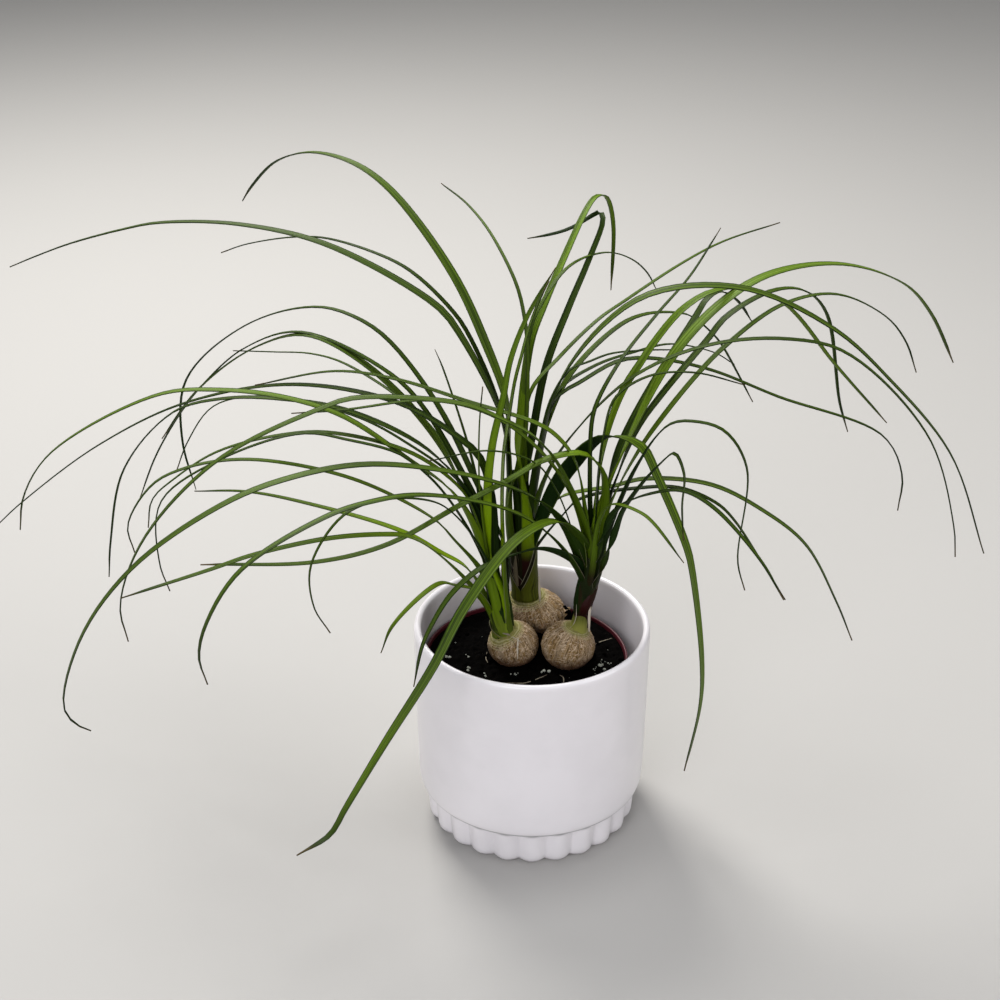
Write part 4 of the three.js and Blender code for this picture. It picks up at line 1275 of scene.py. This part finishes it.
def bulb_rings(name, relief):
    """A bulb's corners, how near each is to the neck and how much it is part of the dark underside. The
    form is an egg of three half sizes, pushed out by long ripples that run down from the neck and by
    round ones of two sizes, and then leant over about the Y axis."""
    bulb = BULBS[name]
    egg, polar, angle = ball(BULB_POLE, BULB_RINGS, BULB_SIDES)
    places = egg * bulb["radii"]
    about, down = LINE_RATES
    lines = np.stack(np.broadcast_arrays(about * np.cos(angle), about * np.sin(angle), down * polar), -1)
    rough = ripple(lines, LINE_SIZE, LINE_SEED + len(name)) * LINE_SHARE
    for size, seed, share in BARK_LUMPS:
        rough = rough + ripple(places, size, seed) * share
    places = places + egg * (rough * relief * np.sin(polar) ** 0.5)[..., None]
    lean = math.radians(bulb["lean"])
    x, y, z = np.moveaxis(places, -1, 0)
    x, z = x * math.cos(lean) + z * math.sin(lean), z * math.cos(lean) - x * math.sin(lean)
    places = np.stack([x, y, z], -1) + bulb["centre"]
    stem_x, stem_y, _ = STEMS[name]["axis"][0]
    off = np.hypot(places[..., 0] - stem_x, places[..., 1] - stem_y) / STEMS[name]["radii"][0]
    neck = (1 - ease(*NECK_SHARES, off)) * ease(0, NECK_RISE, places[..., 2] - bulb["centre"][2])
    low, high = UNDERSIDE
    return places, neck, 1 - ease(SOIL_EDGE + low, SOIL_EDGE + high, places[..., 2])


class PALM_OT_bulbs(bpy.types.Operator):
    """Build the three bulbs with their fibrous bark"""

    bl_idname = "palm.bulbs"
    bl_label = "Bulbs"

    def execute(self, context):
        """Makes each bulb, with its bark turned so that the fibres spread from the stem's foot."""
        looks = context.scene.palm_bulbs
        for name in PLANTS:
            bulb = BULBS[name]
            skin = Skin()
            places, neck, foot = bulb_rings(name, looks.relief / MM)
            skin.tube(places, neck=neck, foot=foot)
            if name == "back":
                for path, radii, sides, sunk in TAILS:
                    skin.tube(round_tube(path, radii, sides, TAIL_STEPS), neck=0, foot=sunk)
            side = STEMS[name]["axis"][0][0] - bulb["centre"][0]
            turn = -math.atan2(side, bulb["radii"][2])
            finish = bark_finish(f"bark_{name}", tuple(looks.bark), bulb["centre"], turn)
            skin.piece(f"bulb_{name}_bark", finish, f"bulb_{name}", [f"bulb_{name}"])
        return {"FINISHED"}


STEM_SIDES = 40
STEM_STEPS = 60
# The stem inside the leaves: shares of the solid's radii, ridges as number, share and turn, and its map
STEM_SHARES = (0.8, 0.74, 0.6, 0.5, 0.5)
STEM_RIDGES = ((9, 0.05, 0), (17, 0.03, 1))
STEM_ALONG = 0.15
STEM_REPEATS = 3


def add_stem(skin, stem, crown):
    """The stem inside the leaves: a round tube along its axis, ribbed by sines of the angle round it."""
    slim = [radius * share for radius, share in zip(stem["radii"], STEM_SHARES)]
    rings = round_tube(stem["axis"], slim, STEM_SIDES, STEM_STEPS)
    centre = rings.mean(1, keepdims=True)
    angle = np.linspace(0, 2 * np.pi, STEM_SIDES, endpoint=False)
    ridge = 1
    for count, height, turn in STEM_RIDGES:
        ridge = ridge + height * np.sin(count * angle + turn)
    rings = centre + (rings - centre) * ridge[None, :, None]
    # The stem inside the bunch is darkened like an underside, as painted shade
    skin.tube(
        rings, across=(np.arange(STEM_SIDES) * STEM_REPEATS / STEM_SIDES) % 1,
        along=np.linspace(0, STEM_ALONG, STEM_STEPS)[:, None], tone=0.3, warm=0.8, under=0.6, chance=0.3,
        far=np.maximum(rings[..., 2] - crown["foot"], 0) * MM, stain=crown["stain"],
    )


class PALM_OT_leaves(bpy.types.Operator):
    """Build the stems and all the leaves, one piece for each plant"""

    bl_idname = "palm.leaves"
    bl_label = "Leaves"

    def execute(self, context):
        looks = context.scene.palm_leaves
        for name in PLANTS:
            skin = Skin()
            add_stem(skin, STEMS[name], CROWNS[name])
            for index, shape in enumerate(LEAVES[name]):
                add_leaf(skin, shape, CROWNS[name], STEMS[name], index + 1)
            finish = leaf_finish(f"foliage_{name}", looks)
            skin.piece(f"foliage_{name}", finish, f"leaves_{name}", [f"leaves_{name}"])
        return {"FINISHED"}


# The sheath's corners across from one margin to the other, close together at the thin pale margins
SHEATH_HALF = [1, 0.99, 0.975, 0.9, 0.8, 0.65, 0.5, 0.35, 0.2, 0.07]
SHEATH_ACROSS = np.array(SHEATH_HALF + [-share for share in reversed(SHEATH_HALF)])
SHEATH_STEPS = 34
SHEATH_THICKNESS = 0.25
# How much wider a sheath is at its top, how far it is open there, in degrees, and the powers of both
SHEATH_PARTING = 0.2
PARTING_POWER = 0.7
LEAST_OPENING = 1
NOTCH_OPENING = 162
OPENING_POWER = 0.85
# The pale rim lies between these shares of the width, and fades in over this share of the open part
RIM = (0.975, 0.99)
RIM_START = 0.05


def sheath_rings(stem, opening, foot, notch, top, lift, sag):
    """A thin sheath round a stem, a little off it, with its map and how much each corner is part of the
    rim. Up to the notch it leaves only a narrow slit. Above the notch its radius widens, and it opens in
    one direction by an angle, both as powers of the height, so its margins make a V. Its foot sags by
    some millimetres on the side of the opening."""
    axis = np.array(stem["axis"], float)
    height = np.linspace(foot, top, SHEATH_STEPS)
    middle = np.stack([np.interp(height, axis[:, 2], axis[:, k]) for k in range(3)], 1)
    middle[:, 2] = height
    part = np.clip((height - notch) / (top - notch), 0, 1)[:, None]
    low = np.interp(np.minimum(height, notch), axis[:, 2], stem["radii"])[:, None]
    radius = low * (1 + SHEATH_PARTING * part ** PARTING_POWER) + lift
    half = math.pi - np.radians(LEAST_OPENING + NOTCH_OPENING * part ** OPENING_POWER)
    u = np.concatenate([SHEATH_ACROSS, SHEATH_ACROSS[::-1]])
    inner = np.repeat([0.0, 1.0], len(SHEATH_ACROSS))
    turn = math.radians(opening + 180) - half * u
    distance = radius - SHEATH_THICKNESS * inner
    rings = np.stack([
        middle[:, 0:1] + distance * np.cos(turn), middle[:, 1:2] + distance * np.sin(turn),
        middle[:, 2:3] - sag * (1 - part) * (1 - np.cos(turn - math.radians(opening))) / 2,
    ], -1)
    return rings, u / 2 + 0.5, part, ease(*RIM, np.abs(u)) * ease(0, RIM_START, part)


STRIP_SIDES = 12
STRIP_STEPS = 24
STRIP_FLATNESS = 0.35
COLLAR_SIDES = 40
COLLAR_STEPS = 24
# The collar's tint grows from 0 to this between these heights
COLLAR_TINT = 0.14
COLLAR_BAND = (122, 134)


def collar_rings(stem):
    """The collar's profile on a smooth curve, turned about the stem's axis."""
    profile, _ = even_path([(radius, height, 0) for radius, height in COLLAR], COLLAR_STEPS)
    rings = turned(profile[:, :2], COLLAR_SIDES)
    axis = np.array(stem["axis"], float)
    for k in range(2):
        rings[..., k] += np.interp(rings[..., 2], axis[:, 2], axis[:, k])
    return rings


class PALM_OT_sheaths(bpy.types.Operator):
    """Build the sheaths, the dried strips and the collar round the stems"""

    bl_idname = "palm.sheaths"
    bl_label = "Sheaths"

    def execute(self, context):
        finish = sheath_finish()
        for name in PLANTS:
            skin = Skin()
            for plant, *place, tint in SHEATHS:
                if plant == name:
                    rings, across, along, rim = sheath_rings(STEMS[name], *place)
                    skin.tube(rings, across=across, along=along, tint=tint, rim=rim)
            for plant, radius, tint, path in STRIPS:
                if plant == name:
                    radii = [radius * share for share in STRIP_RADII]
                    strip = round_tube(path, radii, STRIP_SIDES, STRIP_STEPS, STRIP_FLATNESS)
                    skin.tube(strip, tint=tint, rim=0)
            if name == "right":
                rings = collar_rings(STEMS[name])
                skin.tube(rings, tint=COLLAR_TINT * ease(*COLLAR_BAND, rings[..., 2]), rim=0)
            skin.piece(f"sheaths_{name}", finish, f"leaves_{name}")
        return {"FINISHED"}


# The floor in metres: half its width, how far it runs towards the viewer and away, the radius of the
# curve that raises it into a wall, and the wall's height
FLOOR_HALF = 6
FLOOR_NEAR = -3
FLOOR_FAR = 4
FLOOR_CURVE = 2
FLOOR_TOP = 8
FLOOR_START = 0.1


def floor_mesh(finish):
    """The floor as a sheet: flat, then a quarter of a circle up, then a wall, carried across its width."""
    width = np.linspace(-FLOOR_HALF, FLOOR_HALF, 3)
    flat = np.linspace(FLOOR_NEAR, FLOOR_FAR, 12)
    bend = np.linspace(FLOOR_START, math.pi / 2, 16)
    run = np.concatenate([flat, FLOOR_FAR + FLOOR_CURVE * np.sin(bend), [FLOOR_FAR + FLOOR_CURVE]])
    rise = np.concatenate([0 * flat, FLOOR_CURVE - FLOOR_CURVE * np.cos(bend), [FLOOR_TOP]])
    places = np.stack(np.broadcast_arrays(width, run[:, None], rise[:, None]), -1).reshape(-1, 3)
    corner = np.arange(len(run) * len(width)).reshape(len(run), -1)
    faces = np.stack([corner[:-1, :-1], corner[:-1, 1:], corner[1:, 1:], corner[1:, :-1]], -1)
    mesh = bpy.data.meshes.new("floor")
    mesh.from_pydata(places, [], faces.reshape(-1, 4).tolist())
    mesh.polygons.foreach_set("use_smooth", np.ones(len(mesh.polygons), bool))
    mesh.materials.append(finish)
    return mesh


def add_lamp(name, place, size, power, tint):
    """A soft round lamp that looks at the plant."""
    lamp = bpy.data.lights.new(name, "AREA")
    lamp.shape = "DISK"
    lamp.size = size
    lamp.energy = power
    lamp.color = tint
    made = bpy.data.objects.new(name, lamp)
    made.location = place
    aim = Vector(LAMP_AIM) - Vector(place)
    made.rotation_euler = aim.to_track_quat("-Z", "Y").to_euler()
    bpy.context.scene.collection.objects.link(made)


SKY = (0.95, 0.97, 1)
SKY_STRENGTH = 0.32


class PALM_OT_stage(bpy.types.Operator):
    """Set the floor, the camera and the soft lights"""

    bl_idname = "palm.stage"
    bl_label = "Stage"

    def execute(self, context):
        looks = context.scene.palm_stage
        scene = context.scene
        floor = bpy.data.objects.new("floor", floor_mesh(floor_finish(tuple(looks.floor))))
        scene.collection.objects.link(floor)
        camera = bpy.data.objects.new("camera", bpy.data.cameras.new("camera"))
        camera.data.lens = CAMERA_LENS
        camera.data.sensor_width = CAMERA_SENSOR
        camera.location = CAMERA_PLACE
        camera.rotation_euler = (math.radians(CAMERA_TILT), 0, 0)
        scene.collection.objects.link(camera)
        scene.camera = camera
        scene.view_settings.view_transform = "Standard"
        for name, place, size, power, tint in LAMPS:
            add_lamp(name, place, size, power * looks.light, tint)
        scene.world = bpy.data.worlds.new("studio")
        scene.world.use_nodes = True
        backdrop = scene.world.node_tree.nodes["Background"]
        backdrop.inputs["Color"].default_value = (*SKY, 1)
        backdrop.inputs["Strength"].default_value = SKY_STRENGTH * looks.light
        return {"FINISHED"}


class PALM_PT_panel(bpy.types.Panel):
    """Lists the palm's pieces and the sizes and colours that can be changed"""

    bl_idname = "PALM_PT_panel"
    bl_label = "Potted ponytail palm"
    bl_space_type = "VIEW_3D"
    bl_region_type = "UI"
    bl_category = "Palm"

    def draw(self, context):
        layout = self.layout
        for group, keys in (
            ("palm_pot", ("lobes", "lobe_depth", "colour")),
            ("palm_fill", ("plastic", "soil", "roughness", "grains")),
            ("palm_bulbs", ("bark", "relief")),
            ("palm_leaves", ("deep", "bright", "grey", "base_green_and_light", "sheath")),
            ("palm_stage", ("floor", "light")),
        ):
            box = layout.box()
            for key in keys:
                box.prop(getattr(context.scene, group), key)
        for operator in OPERATORS:
            layout.operator(operator.bl_idname)


GROUPS = {
    "palm_pot": PotLooks,
    "palm_fill": FillLooks,
    "palm_bulbs": BulbLooks,
    "palm_leaves": LeafLooks,
    "palm_stage": StageLooks,
}
OPERATORS = (
    PALM_OT_stage,
    PALM_OT_ceramic_pot,
    PALM_OT_nursery_pot,
    PALM_OT_soil,
    PALM_OT_bulbs,
    PALM_OT_leaves,
    PALM_OT_sheaths,
)


def register():
    for name, group in GROUPS.items():
        bpy.utils.register_class(group)
        setattr(bpy.types.Scene, name, bpy.props.PointerProperty(type=group))
    for operator in OPERATORS:
        bpy.utils.register_class(operator)
    bpy.utils.register_class(PALM_PT_panel)


def unregister():
    bpy.utils.unregister_class(PALM_PT_panel)
    for operator in reversed(OPERATORS):
        bpy.utils.unregister_class(operator)
    for name, group in reversed(GROUPS.items()):
        delattr(bpy.types.Scene, name)
        bpy.utils.unregister_class(group)


def main():
    register()
    bpy.ops.palm.stage()
    bpy.ops.palm.ceramic_pot()
    bpy.ops.palm.nursery_pot()
    bpy.ops.palm.soil()
    bpy.ops.palm.bulbs()
    bpy.ops.palm.leaves()
    bpy.ops.palm.sheaths()


if __name__ == "__main__":
    main()
